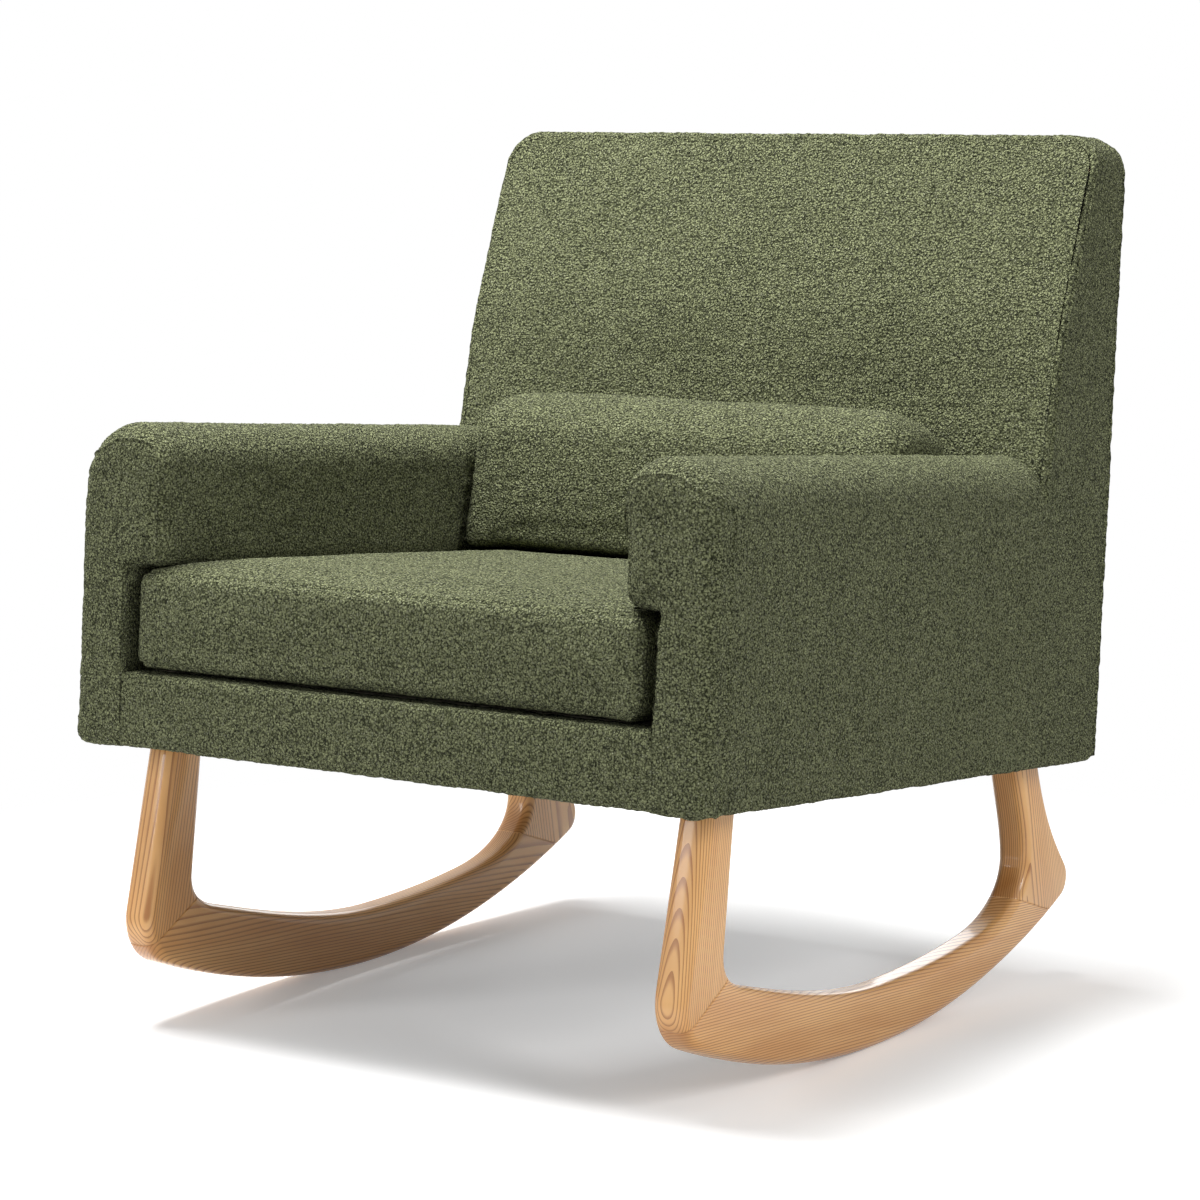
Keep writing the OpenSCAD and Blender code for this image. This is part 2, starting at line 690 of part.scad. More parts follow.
// Cover of the front rail, wrapped over its top and under its bottom
module front_rail_cover() color(fabric) in_body()
    along_x(fit_gap - wall_x, wall_x - fit_gap) difference() {
    polygon(concat(
        [[front_rail_end, 0]],
        arc_points([rail_cover_setback + edge_round, edge_round], edge_round, 270, 180, 4),
        arc_points([rail_cover_setback + edge_round, deck_top - edge_round], edge_round, 180, 90, 4),
        [[front_rail_end, deck_top]]));
    translate([front_rail_y - fit_gap, wrap_t]) square([rail_t + 20, rail_top + fit_gap - wrap_t]);
    translate([front_rail_y + cover_hem - fit_gap, -1]) square([rail_t + 20, wrap_t + 2]);
}

// Arms, drawn as the right arm

// The space in front of the back, where the arms end
module before_back() along_x(0, half_w + 1) polygon(concat(
    [[-10, -10]],
    [for (z = back_levels(-10, back_h)) [back_face(z) - fit_gap, z]],
    [[-10, back_h]]));

module arm_front_board_form() along_y(board_y, board_y + board_t)
    intersection() {
        polygon(arm_outline(skin + fit_gap, rail_lift));
        translate([0, rail_lift]) square([half_w, arm_top]);
    }

module arm_rear_post_form() let (y = back_face(0) - arm_post_setback)
    along_y(y - arm_post_d, y) intersection() {
        polygon(arm_outline(skin + fit_gap, rail_lift));
        translate([board_x + panel_t + fit_gap, rail_top + fit_gap])
            square([half_w, arm_rail_bottom - rail_top - 2 * fit_gap]);
    }

module arm_top_rail_form() intersection() {
    box([arm_rail_x, frame_y, arm_rail_bottom], [arm_rail_x + arm_rail_w, body_d, arm_rail_top]);
    before_back();
}

module arm_outer_panel_form()
    box([frame_x - panel_t, frame_y, rail_top + fit_gap],
        [frame_x, back_face(0) - arm_post_setback - arm_post_d - fit_gap, arm_top - arm_outer_round]);

module arm_inner_panel_form() box([board_x, frame_y, rail_top + fit_gap],
    [board_x + panel_t, back_face(0) - arm_post_setback, arm_rail_bottom - fit_gap]);

// Foam round the top rail and down to the pad's underside
module arm_padding_form() intersection() {
    along_y(frame_y, body_d) difference() {
        polygon(arm_outline(skin + fit_gap, rail_lift));
        translate([0, -1]) square([half_w, pad_bottom + skin + 1]);
        translate([board_x - fit_gap, 0]) square([half_w, arm_rail_bottom]);
        translate([arm_rail_x - fit_gap, arm_rail_bottom - fit_gap])
            square([arm_rail_w + 2 * fit_gap, board_t + 2 * fit_gap]);
    }
    before_back();
}

module arm_cover_form() intersection() {
    along_y(board_y, body_d) difference() {
        polygon(arm_outline(0, 0));
        difference() {
            polygon(arm_outline(skin, -1));
            translate([half_w - skin - cover_hem, -2]) square([cover_hem + 1, wrap_t + 2]);
        }
        translate([0, -1]) square([half_w - skin - cover_hem, deck_bottom + 1]);
    }
    before_back();
}

module arm_front_panel_form() loft(concat(
    [[for (p = facing_outline(0)) [p[0], facing_d, p[1]]]],
    [for (a = [90:-30:0]) let (inset = edge_round * (1 - sin(a)), y = edge_round * (1 - cos(a)))
        [for (p = facing_outline(inset)) [p[0], y, p[1]]]]));

module right_arm_front_board() color(beech) in_body() arm_front_board_form();
module left_arm_front_board() color(beech) in_body() mirror([1, 0, 0]) arm_front_board_form();
module right_arm_rear_post() color(beech) in_body() arm_rear_post_form();
module left_arm_rear_post() color(beech) in_body() mirror([1, 0, 0]) arm_rear_post_form();
module right_arm_top_rail() color(beech) in_body() arm_top_rail_form();
module left_arm_top_rail() color(beech) in_body() mirror([1, 0, 0]) arm_top_rail_form();
module right_arm_outer_panel() color(hardboard) in_body() arm_outer_panel_form();
module left_arm_outer_panel() color(hardboard) in_body() mirror([1, 0, 0]) arm_outer_panel_form();
module right_arm_inner_panel() color(hardboard) in_body() arm_inner_panel_form();
module left_arm_inner_panel() color(hardboard) in_body() mirror([1, 0, 0]) arm_inner_panel_form();
module right_arm_padding() color(foam) in_body() arm_padding_form();
module left_arm_padding() color(foam) in_body() mirror([1, 0, 0]) arm_padding_form();
module right_arm_cover() color(fabric) in_body() arm_cover_form();
module left_arm_cover() color(fabric) in_body() mirror([1, 0, 0]) arm_cover_form();
module right_arm_front_panel() color(fabric) in_body() arm_front_panel_form();
module left_arm_front_panel() color(fabric) in_body() mirror([1, 0, 0]) arm_front_panel_form();

// Back

// A layer that follows the back's front face, from one depth behind it to another
module back_layer(front, rear, from, to, x_from, x_to)
    let (levels = back_levels(from, to), n = len(levels))
    along_x(x_from, x_to) polygon(concat(
        [for (z = levels) [back_face(z) + front, z]],
        [for (k = [n - 1:-1:0]) [back_face(levels[k]) + rear, levels[k]]]));

// The back's outer form drawn in by inset, with rounded front edges
module back_form(inset, rear, base) let (round = edge_round - inset)
    symmetric_loft(concat(
        [for (a = back_steps) [for (p = back_outline(inset + round * (1 - sin(a)), base))
            [p[0], back_face(p[1]) + inset + round * (1 - cos(a)), p[1]]]],
        [[for (p = back_outline(inset, base)) [p[0], rear, p[1]]]]));

// Side board of the back with a window, standing on the side rail
module back_stile_form() let (window_foot = stile_foot + 2 * stile_margin) intersection() {
    along_y(0, body_d) polygon(back_outline(skin + fit_gap, 0));
    along_x(stile_x - stile_w, stile_x) difference() {
        polygon(concat(
            [[frame_end, stile_foot]],
            [for (z = back_levels(stile_foot, stile_top)) [back_face(z) + stile_front, z]],
            [[frame_end, stile_top]]));
        polygon(concat(
            [for (z = [window_foot, bend_start]) [back_face(z) + stile_front + stile_margin, z]],
            [for (z = [bend_start, window_foot]) [frame_end - stile_margin, z]]));
    }
}

module right_back_stile() color(beech) in_body() back_stile_form();
module left_back_stile() color(beech) in_body() mirror([1, 0, 0]) back_stile_form();

module back_cross_rail(bottom) let (x = stile_x - stile_w - fit_gap)
    back_layer(stile_front, stile_front + rail_t, bottom, bottom + back_rail_h, -x, x);

module back_top_rail() color(beech) in_body() back_cross_rail(stile_top - back_rail_h);

module back_lower_rail() color(beech) in_body() back_cross_rail(deck_top + lower_rail_lift);

// Straps across the fronts of the stiles, clear of the bend
strap_zs = [for (k = [0:2]) mix(deck_top + strap_lift, bend_start - strap_w / 2, k / 2),
    for (k = [0:1]) mix(bend_end + strap_w, stile_top - strap_w, k)];

module back_webbing() color(lining) in_body() for (z = strap_zs)
    back_layer(strap_front, strap_front + strap_t, z - strap_w / 2, z + strap_w / 2, -stile_x, stile_x);

// Foam over the front and the top of the back's frame
module back_padding() color(foam) in_body() difference() {
    back_form(skin + fit_gap, frame_end, deck_top + back_hem_gap + fit_gap);
    back_layer(foam_front + back_foam, back_foot_d + 100, 0, stile_top + fit_gap, -half_w, half_w);
}

module back_cover() color(fabric) in_body() difference() {
    back_form(0, frame_end, 0);
    back_form(skin, body_d + 10, -20);
    box([skin - half_w, 0, -30], [half_w - skin, frame_end + 20, deck_top + back_hem_gap]);
}

module outside_back_panel() color(fabric) in_body() difference() {
    symmetric_loft([for (a = back_steps)
        let (inset = panel_round * (1 - cos(a)), y = body_d - panel_round * (1 - sin(a)))
        [for (p = back_outline(inset, inset)) [p[0], y, p[1]]]]);
    box([panel_rim - half_w, 0, rail_top + panel_rim],
        [half_w - panel_rim, frame_end + fit_gap + panel_recess, back_h - panel_rim]);
}

// Cushions

// Rounded rectangle of 32 points at height z, drawn in by inset, with its front and sides bowed in
function cushion_ring(inset, z) = let (
    room = min((cushion_rear - cushion_front) / 2, cushion_x) - inset - 2,
    round = min(cushion_corner + inset, room),
    x = cushion_x - inset - round,
    front = cushion_front + inset + round,
    rear = cushion_rear - max(inset, 0) - round,
    centres = [[x, rear], [-x, rear], [-x, front], [x, front]],
    bows = [0, cushion_draw, cushion_draw, cushion_draw])
    [for (c = [0:3], k = [0:7]) let (
        a = 90 * c + 22.5 * min(k, 4),
        arc = centres[c] + round * [cos(a), sin(a)],
        next = centres[(c + 1) % 4] + round * [cos(a), sin(a)],
        share = max(0, k - 4) / 4,
        bow = bows[c] * sin(180 * share),
        p = mix(arc, next, share) - bow * [cos(a), sin(a)])
        [p[0], p[1], z]];

// Distance in from the sides and height of each ring of the cushion, from its underside up
cushion_under_in = 60;
cushion_under_rise = 0.7;
cushion_foot_rise = 13;
cushion_bulge = 1;
cushion_levels = concat(
    [[cushion_under_in, cushion_bottom]],
    [for (a = [0, 45, 90]) [cushion_bottom_round * (1 - sin(a)),
        cushion_bottom + cushion_under_rise + cushion_foot_rise * (1 - cos(a))]],
    [[-cushion_bulge, mix(cushion_bottom, cushion_edge, 0.45)]],
    [for (a = [0:30:90]) [cushion_side_round * (1 - cos(a)),
        cushion_edge - cushion_top_round * (1 - sin(a))]],
    [for (k = [1:6]) let (share = pow(k / 6, 2)) [cushion_side_round + cushion_flat * share,
        cushion_edge + cushion_crown * (1 - pow(1 - share, 4))]]);

module seat_cushion() color(fabric) in_body() loft([for (level = cushion_levels)
    cushion_ring(level[0], level[1])]);

// Zip along x with its tape's middle at the origin and its chain outward along y
module zip(length) {
    box([-length / 2, fit_gap, -tape_w / 2], [length / 2, fit_gap + tape_t, tape_w / 2]);
    box([-length / 2, fit_gap, -chain_w / 2], [length / 2, fit_gap + tape_t + chain_t, chain_w / 2]);
}

// Slider that straddles the chain, at the end of the closed zip
module zip_slider(length) let (y = 2 * fit_gap + tape_t)
    translate([length / 2 - slider_l - slider_end_gap, 0, 0])
    difference() {
        box([0, y, -slider_w / 2], [slider_l, y + slider_t, slider_w / 2]);
        box([-1, y - 1, -chain_w / 2 - fit_gap], [slider_l + 1, y + chain_t, chain_w / 2 + fit_gap]);
    }

module seat_zip() color(zip_black) in_body() translate([0, cushion_rear, seat_zip_z]) zip(seat_zip_l);
module seat_zip_slider() color(zip_black) in_body()
    translate([0, cushion_rear, seat_zip_z]) zip_slider(seat_zip_l);

module in_pillow() translate([0, pillow_mid_y, pillow_mid_z]) rotate([-pillow_lean, 0, 0]) children();

// Outline of the pillow in y and z, drawn in by inset, from its rear bottom corner upwards
function pillow_outline(inset) = let (
    y = pillow_t / 2 - inset,
    z = pillow_h / 2 - inset,
    signs = [[1, -1], [1, 1], [-1, 1], [-1, -1]])
    [for (c = [0:3], k = [0:5]) let (
        round = max(pillow_rounds[c] - inset, 2),
        a = 90 * (c - 1) + 18 * k,
        centre = [signs[c][0] * (y - round), signs[c][1] * (z - round)])
        centre + round * [cos(a), sin(a)]];

// Distance in from the end and inset of each ring of the pillow, from its end to its middle
pillow_end_levels = [[0, 16], [2.5, 9], [8.5, 3.5], [18.5, 0]];
pillow_broad_in = 155;
pillow_levels = concat(pillow_end_levels,
    [[pillow_broad_in, -pillow_crown * 0.7], [pillow_x, -pillow_crown]]);
pillow_rings = [for (k = [0:5]) [-pillow_x + pillow_levels[k][0], pillow_levels[k][1]],
    for (k = [4:-1:0]) [pillow_x - pillow_levels[k][0], pillow_levels[k][1]]];

module lumbar_pillow() color(fabric) in_body() in_pillow() loft([for (ring = pillow_rings)
    [for (p = pillow_outline(ring[1])) [ring[0], p[0], p[1]]]]);

module pillow_zip() color(zip_black) in_body() in_pillow()
    translate([0, pillow_t / 2 + pillow_crown, pillow_zip_z]) zip(pillow_zip_l);
module pillow_zip_slider() color(zip_black) in_body() in_pillow()
    translate([0, pillow_t / 2 + pillow_crown, pillow_zip_z]) zip_slider(pillow_zip_l);

left_front_leg();
right_front_leg();
left_runner();
right_runner();
left_rear_leg();
right_rear_leg();
mitre_dowels();
leg_plates();
plate_bolts();
t_nuts();
plate_screws();
leg_blocks();
front_rail();
rear_rail();
left_side_rail();
right_side_rail();
front_spring_rail();
rear_spring_rail();
seat_springs();
spring_clips();
deck_pad();
dust_cover();
front_rail_cover();
left_arm_front_board();
right_arm_front_board();
left_arm_rear_post();
right_arm_rear_post();
left_arm_top_rail();
right_arm_top_rail();
left_arm_outer_panel();
right_arm_outer_panel();
left_arm_inner_panel();
right_arm_inner_panel();
left_arm_padding();
right_arm_padding();
left_arm_cover();
right_arm_cover();
left_arm_front_panel();
right_arm_front_panel();
left_back_stile();
right_back_stile();
back_top_rail();
back_lower_rail();
back_webbing();
back_padding();
back_cover();
outside_back_panel();
seat_cushion();
seat_zip();
seat_zip_slider();
lumbar_pillow();
pillow_zip();
pillow_zip_slider();
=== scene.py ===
import math
from contextlib import contextmanager
import bmesh
import bpy
import numpy as np
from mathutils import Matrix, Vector


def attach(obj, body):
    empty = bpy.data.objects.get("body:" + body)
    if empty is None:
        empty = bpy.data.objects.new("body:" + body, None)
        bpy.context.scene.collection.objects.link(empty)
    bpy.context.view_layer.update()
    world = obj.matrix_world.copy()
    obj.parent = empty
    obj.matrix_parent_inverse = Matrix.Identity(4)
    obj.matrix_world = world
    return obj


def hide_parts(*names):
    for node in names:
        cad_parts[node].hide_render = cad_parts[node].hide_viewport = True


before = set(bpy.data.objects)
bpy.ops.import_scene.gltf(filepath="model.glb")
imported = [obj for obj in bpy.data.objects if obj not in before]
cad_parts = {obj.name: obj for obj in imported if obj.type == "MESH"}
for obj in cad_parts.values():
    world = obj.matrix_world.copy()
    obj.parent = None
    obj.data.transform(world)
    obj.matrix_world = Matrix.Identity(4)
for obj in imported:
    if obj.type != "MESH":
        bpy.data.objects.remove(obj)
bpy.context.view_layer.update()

# ---- Studio ----
# A pale floor that runs out of sight under a white surround, with a large soft lamp overhead and
# weaker ones at the front, the right and the rear. The camera stands where the photograph was taken.

camera_place = (2.19552, -3.24961, 0.94856)
camera_turn, camera_dip = 34.2403, 7.5723
camera_lens, camera_sensor = 112.59, 36.0
floor_half = 14.0
floor_grey, floor_seen = 0.62, 1.3
white_from, white_to, shadow_haze = 0.62, 1.35, 0.2
surround_light = 0.28

camera_data = bpy.data.cameras.new("camera")
camera_data.lens, camera_data.sensor_width = camera_lens, camera_sensor
camera = bpy.data.objects.new("camera", camera_data)
camera.location = camera_place
camera.rotation_euler = (math.radians(90 - camera_dip), 0, math.radians(camera_turn))
bpy.context.scene.collection.objects.link(camera)
bpy.context.scene.camera = camera
bpy.context.scene.view_settings.view_transform = "Standard"


def place(tree, kind, settings=None, **inputs):
    """A new node with its settings, and its inputs set to values or linked to outputs."""
    node = tree.nodes.new("ShaderNode" + kind)
    for name, value in (settings or {}).items():
        setattr(node, name, value)
    for name, value in inputs.items():
        socket = node.inputs[int(name[1:]) if name[1:].isdigit() else name.replace("_", " ")]
        if isinstance(value, bpy.types.NodeSocket):
            tree.links.new(value, socket)
        elif socket.type == "RGBA" and len(value) == 3:
            socket.default_value = (*value, 1)
        else:
            socket.default_value = value
    return node


def math_of(tree, operation, a, b):
    return place(tree, "Math", {"operation": operation}, i0=a, i1=b).outputs[0]


def seen_directly(tree):
    """A mask that is 1 for what the camera, a reflection or a view through glass sees."""
    path = place(tree, "LightPath").outputs
    most = math_of(tree, "MAXIMUM", path["Is Camera Ray"], path["Is Glossy Ray"])
    return math_of(tree, "MAXIMUM", most, path["Is Transmission Ray"])


def lamp(name, at, aim, size, power):
    """A soft rectangular lamp that shines from one point towards another."""
    data = bpy.data.lights.new(name, "AREA")
    data.shape, data.size, data.size_y, data.energy = "RECTANGLE", size[0], size[1], power
    made = bpy.data.objects.new(name, data)
    made.location = at
    made.rotation_euler = (Vector(aim) - Vector(at)).to_track_quat("-Z", "Y").to_euler()
    bpy.context.scene.collection.objects.link(made)


world = bpy.data.worlds.new("surround")
bpy.context.scene.world = world
world.use_nodes = True
sky = world.node_tree
backdrop = sky.nodes["Background"].inputs
strength = place(sky, "Mix", Factor=seen_directly(sky), A=surround_light, B=1.0)
backdrop["Color"].default_value = (1, 1, 1, 1)
sky.links.new(strength.outputs["Result"], backdrop["Strength"])

floor_mesh = bpy.data.meshes.new("floor")
floor_mesh.from_pydata([(-floor_half, -floor_half, 0), (floor_half, -floor_half, 0),
    (floor_half, floor_half, 0), (-floor_half, floor_half, 0)], [], [(0, 1, 2, 3)])
floor = bpy.data.objects.new("floor", floor_mesh)
bpy.context.scene.collection.objects.link(floor)
floor_paper = bpy.data.materials.new("floor_paper")
floor_paper.use_nodes = True
tree = floor_paper.node_tree
seen = seen_directly(tree)
shade = place(tree, "Mix", Factor=seen, A=floor_grey, B=floor_seen)
paper = place(tree, "BsdfDiffuse", Color=shade.outputs["Result"])
glow = place(tree, "Emission")
here = place(tree, "TexCoord")
away = place(tree, "VectorMath", {"operation": "LENGTH"}, i0=here.outputs["Object"])
fade = place(tree, "MapRange", {"interpolation_type": "SMOOTHSTEP"}, Value=away.outputs["Value"],
    From_Min=white_from, From_Max=white_to, To_Min=shadow_haze)
blend = place(tree, "MixShader", i0=math_of(tree, "MULTIPLY", fade.outputs["Result"], seen),
    i1=paper.outputs["BSDF"], i2=glow.outputs["Emission"])
tree.links.new(blend.outputs["Shader"], tree.nodes["Material Output"].inputs["Surface"])
floor_mesh.materials.append(floor_paper)

lamp("overhead", (-0.7, -0.15, 3.2), (0, 0, 0.3), (1.7, 1.7), 178)
lamp("front_left", (-2.0, -3.3, 1.6), (0, 0, 0.4), (1.0, 1.4), 34)
lamp("right", (3.4, -0.7, 2.2), (0, 0, 0.4), (1.0, 1.4), 50)
lamp("rear", (-1.4, 3.6, 1.6), (0, 0, 0.6), (1.4, 1.4), 26)

# ---- Rockers ----
# Two rockers of solid ash, each of a front leg, a runner and a rear leg that are mitred and
# dowelled at the toe and the heel, shaped to soft edges and finished with satin lacquer.

rocker_x, rocker_t, rocker_edge = 327.0, 38.0, 12.0
rocker_radius, contact_y, toe_round, heel_round = 943.0, 400.0, 48.0, 20.0
front_lean, inner_lean = math.radians(13.9), math.radians(7.9)
front_leg_y, front_leg_d, front_corner_h, straight_share = 72.5, 49.5, 157.0, 0.75
runner_d, waist_d, rear_leg_y, rear_leg_d, rear_bend_h = 61.0, 50.0, 677.0, 54.0, 142.0
mitre_share = 0.55
body_tilt, floor_clearance, middle_y = math.radians(4.35), 300.0, 420.27
leg_top_lift = 2.6
ash_pale, ash_warm, ash_line = (0.86, 0.50, 0.20), (0.72, 0.36, 0.115), (0.36, 0.125, 0.03)


def mix(a, b, t):
    return a + (b - a) * t


def bezier(points, t):
    """Point at t of the curve that these control points draw."""
    points = [np.array(p, float) for p in points]
    while len(points) > 1:
        points = [mix(a, b, t) for a, b in zip(points, points[1:])]
    return points[0]


def bottom_z(y):
    """Height of the leg tops' plane above the floor, at y behind the body's front edge."""
    return floor_clearance - y * math.tan(body_tilt) + leg_top_lift / math.cos(body_tilt)


def floor_point(y):
    """Point of the runner's underside, which is an arc that rolls on the floor."""
    return np.array([y, rocker_radius - math.sqrt(rocker_radius**2 - (y - contact_y) ** 2)])


def on_circle(centre, radius, angle):
    return centre + radius * np.array([math.cos(angle), math.sin(angle)])


floor_centre = np.array([contact_y, rocker_radius])
front_top = np.array([front_leg_y, bottom_z(front_leg_y)])
front_dir = np.array([math.sin(front_lean), math.cos(front_lean)])
toe_from = front_top + toe_round * np.array([front_dir[1], -front_dir[0]]) - floor_centre
toe_lift = toe_from @ front_dir
toe_reach = (rocker_radius - toe_round) ** 2 - toe_from @ toe_from + toe_lift**2
toe_centre = floor_centre + toe_from + (-toe_lift - math.sqrt(toe_reach)) * front_dir
toe_front_angle = math.pi - front_lean
toe_floor_angle = math.atan2(*(toe_centre - floor_centre)[::-1]) % (2 * math.pi)
toe_mitre_angle = (toe_front_angle + toe_floor_angle) / 2
inner_top = np.array([front_leg_y + front_leg_d, bottom_z(front_leg_y + front_leg_d)])
corner_y = inner_top[0] - (inner_top[1] - front_corner_h) * math.tan(inner_lean)
corner_top = np.array([corner_y, front_corner_h])
corner = [corner_top, corner_top + [-4.5, -33], corner_top + [37, -44.5]]
runner_mid = np.array([contact_y + 20, runner_d])
waist = floor_point(rear_leg_y - 67) + [0, waist_d]
bulge = np.array([rear_leg_y + 27, rear_bend_h])
front_curve = [corner[2], corner[2] + [100, -27.5], runner_mid - [90, 0], runner_mid]
middle_curve = [runner_mid, runner_mid + [60, 0], waist - [60, 9], waist]
bulge_curve = [waist, waist + [55, 9], bulge - [0, 37], bulge]
rear_curve = [bulge, bulge + [0, 30], bulge + [-12, 63], [rear_leg_y, bottom_z(rear_leg_y)]]
heel_y = rear_leg_y + 108
heel_reach = rocker_radius - heel_round
heel_centre = np.array([heel_y, rocker_radius - math.sqrt(heel_reach**2 - (heel_y - contact_y) ** 2)])
heel_floor_angle = math.atan2(*(heel_centre - floor_centre)[::-1])
heel_rear_angle = math.radians(40)
heel_floor_y = on_circle(heel_centre, heel_round, heel_floor_angle)[0]
heel_top = on_circle(heel_centre, heel_round, heel_rear_angle)
heel_curve = [heel_top, heel_top + 38 * np.array([-math.sin(heel_rear_angle), math.cos(heel_rear_angle)]),
    bulge + [46, 30], [rear_leg_y + rear_leg_d, bottom_z(rear_leg_y + rear_leg_d)]]
rear_mitre_y = heel_floor_y - 28


def front_leg_line(s):
    """Outer and inner point of the front leg's side view, from its top at 0 to its mitre at 1."""
    if s < straight_share:
        t = s / straight_share
        return (mix(front_top, on_circle(toe_centre, toe_round, toe_front_angle), t),
            mix(inner_top, corner_top, t))
    t = (s - straight_share) / (1 - straight_share)
    return on_circle(toe_centre, toe_round, mix(toe_front_angle, toe_mitre_angle, t)), bezier(corner, t / 2)


def runner_line(s):
    """Outer and inner point of the runner's side view, from its front mitre at 0 to its rear one at 1."""
    if s < 0.1:
        t = s / 0.1
        return (on_circle(toe_centre, toe_round, mix(toe_mitre_angle, toe_floor_angle, t)),
            bezier(corner, mix(0.5, 1, t)))
    toe_end_y = on_circle(toe_centre, toe_round, toe_floor_angle)[0]
    for start, end, y_from, y_to, curve, share in (
            (0.1, 0.5, toe_end_y, contact_y + 12, front_curve, 1),
            (0.5, 0.75, contact_y + 12, waist[0] + 15, middle_curve, 1),
            (0.75, 1.001, waist[0] + 15, rear_mitre_y, bulge_curve, mitre_share)):
        if s <= end:
            t = min(1, (s - start) / (min(end, 1) - start))
            return floor_point(mix(y_from, y_to, t)), bezier(curve, share * t)


def rear_leg_line(s):
    """Outer and inner point of the rear leg's side view, from its mitre at 0 to its top at 1."""
    k = 16 * s
    if k < 2:
        outer = floor_point(mix(rear_mitre_y, heel_floor_y, k / 2))
    elif k < 7:
        outer = on_circle(heel_centre, heel_round, mix(heel_floor_angle, heel_rear_angle, (k - 2) / 5))
    else:
        outer = bezier(heel_curve, (k - 7) / 9)
    inner = bezier(bulge_curve, mix(mitre_share, 1, k / 5)) if k < 5 else bezier(rear_curve, (k - 5) / 11)
    return outer, inner


def rocker_section(outer, inner, inset):
    """Rounded section in x, y and z, drawn in by inset."""
    depth = np.linalg.norm(inner - outer)
    across = (inner - outer) / depth
    round_in = min(rocker_edge, rocker_t / 2 - 1, depth / 2 - 1)
    ring = []
    for quarter in range(4):
        side = -1 if quarter in (0, 3) else 1
        end = 1 if quarter < 2 else -1
        for a in np.radians(np.linspace(90 * quarter, 90 * quarter + 90, 9)):
            x = side * (rocker_t / 2 - round_in) - (round_in - inset) * math.cos(a)
            d = depth / 2 + end * (depth / 2 - round_in) + (round_in - inset) * math.sin(a)
            ring.append([x, *(outer + across * d)])
    return ring


def grid_faces(rows, columns, ring=False, start=0):
    """Quads over rows of equally many points; a ring's last column joins its first."""
    r, c = np.meshgrid(np.arange(rows - 1), np.arange(columns if ring else columns - 1), indexing="ij")
    a = start + r * columns + c
    b = start + r * columns + (c + 1) % columns
    return np.stack([a, b, b + columns, a + columns], -1).reshape(-1, 4).tolist()


def tube_faces(rows, columns):
    """Faces over rows of rings, closed at both ends."""
    last = (rows - 1) * columns
    return grid_faces(rows, columns, ring=True) + [
        list(range(columns))[::-1], list(range(last, last + columns))]


def made_piece(name, points, faces, material):
    """A new smooth-shaded piece of mesh from points in the row frame, in metres."""
    mesh = bpy.data.meshes.new(name)
    mesh.from_pydata(np.asarray(points, float).tolist(), [], faces)
    mesh.materials.append(material)
    mesh.polygons.foreach_set("use_smooth", [True] * len(mesh.polygons))
    mesh.update()
    made = bpy.data.objects.new(name, mesh)
    bpy.context.scene.collection.objects.link(made)
    return made


def points_of(mesh):
    """A mesh's points and their normals."""
    at, out = np.empty(3 * len(mesh.vertices)), np.empty(3 * len(mesh.vertices))
    mesh.vertices.foreach_get("co", at)
    mesh.vertex_normals.foreach_get("vector", out)
    return at.reshape(-1, 3), out.reshape(-1, 3)


def lay_in_board(piece, origin, x_axis, y_axis, z_axis):
    """Writes each point's place in its board, x along the grain, and how much end grain it shows."""
    at, out = points_of(piece.data)
    axes = np.array([x_axis, y_axis, z_axis])
    in_board = (at - np.array(origin)) @ axes.T
    marks = piece.data.attributes
    marks.new("in_board", "FLOAT_VECTOR", "POINT").data.foreach_set("vector", in_board.ravel())
    marks.new("end_grain", "FLOAT", "POINT").data.foreach_set("value", np.abs(out @ axes[0]))


def dress(piece, body, slot, *names, fill=None):
    """Hides the nodes that a piece stands for and puts the piece on its body; its slot and fill are not
    used.
    """
    if names:
        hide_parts(*names)
    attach(piece, body)


def node_group(name, inputs):
    """An empty node group with inputs given as name and default, its inputs and its outputs.

    Each group takes coordinates too, and gives a colour, a height and a roughness."""
    tree = bpy.data.node_groups.new(name, "ShaderNodeTree")
    for socket, value in {"Vector": None, **inputs}.items():
        kind = "Vector" if value is None else "Color" if isinstance(value, tuple) else "Float"
        made = tree.interface.new_socket(socket, in_out="INPUT", socket_type="NodeSocket" + kind)
        if value is not None:
            made.default_value = (*value, 1) if isinstance(value, tuple) else value
    for socket, kind in (("Color", "Color"), ("Height", "Float"), ("Roughness", "Float")):
        tree.interface.new_socket(socket, in_out="OUTPUT", socket_type="NodeSocket" + kind)
    return tree, tree.nodes.new("NodeGroupInput").outputs, tree.nodes.new("NodeGroupOutput").inputs


def give_out(tree, end, colour, height, roughness):
    """Links a group's results to its outputs."""
    for socket, value in (("Color", colour), ("Height", height), ("Roughness", roughness)):
        tree.links.new(value, end[socket])


def scaled(tree, vector, by):
    return place(tree, "VectorMath", {"operation": "MULTIPLY"}, i0=vector, i1=by).outputs[0]


def shifted(tree, vector, noise, by):
    """The coordinates, moved about by a noise."""
    return place(tree, "VectorMath", {"operation": "MULTIPLY_ADD"}, i0=noise, i1=by, i2=vector).outputs[0]


def clouds(tree, vector, scale, detail, output="Fac", **more):
    return place(tree, "TexNoise", Vector=vector, Scale=scale, Detail=detail, **more).outputs[output]


def weighted(tree, *parts):
    """The sum of values, each times its weight."""
    total, *others = [math_of(tree, "MULTIPLY", value, weight) for value, weight in parts]
    for other in others:
        total = math_of(tree, "ADD", total, other)
    return total


def colour_mix(tree, factor, a, b):
    return place(tree, "Mix", {"data_type": "RGBA"}, i0=factor, i6=a, i7=b).outputs[2]


def between(tree, value, low, high):
    """The value's place between low and high, from 0 to 1, eased at both ends."""
    return place(tree, "MapRange", {"interpolation_type": "SMOOTHSTEP"},
        Value=value, From_Min=low, From_Max=high).outputs[0]


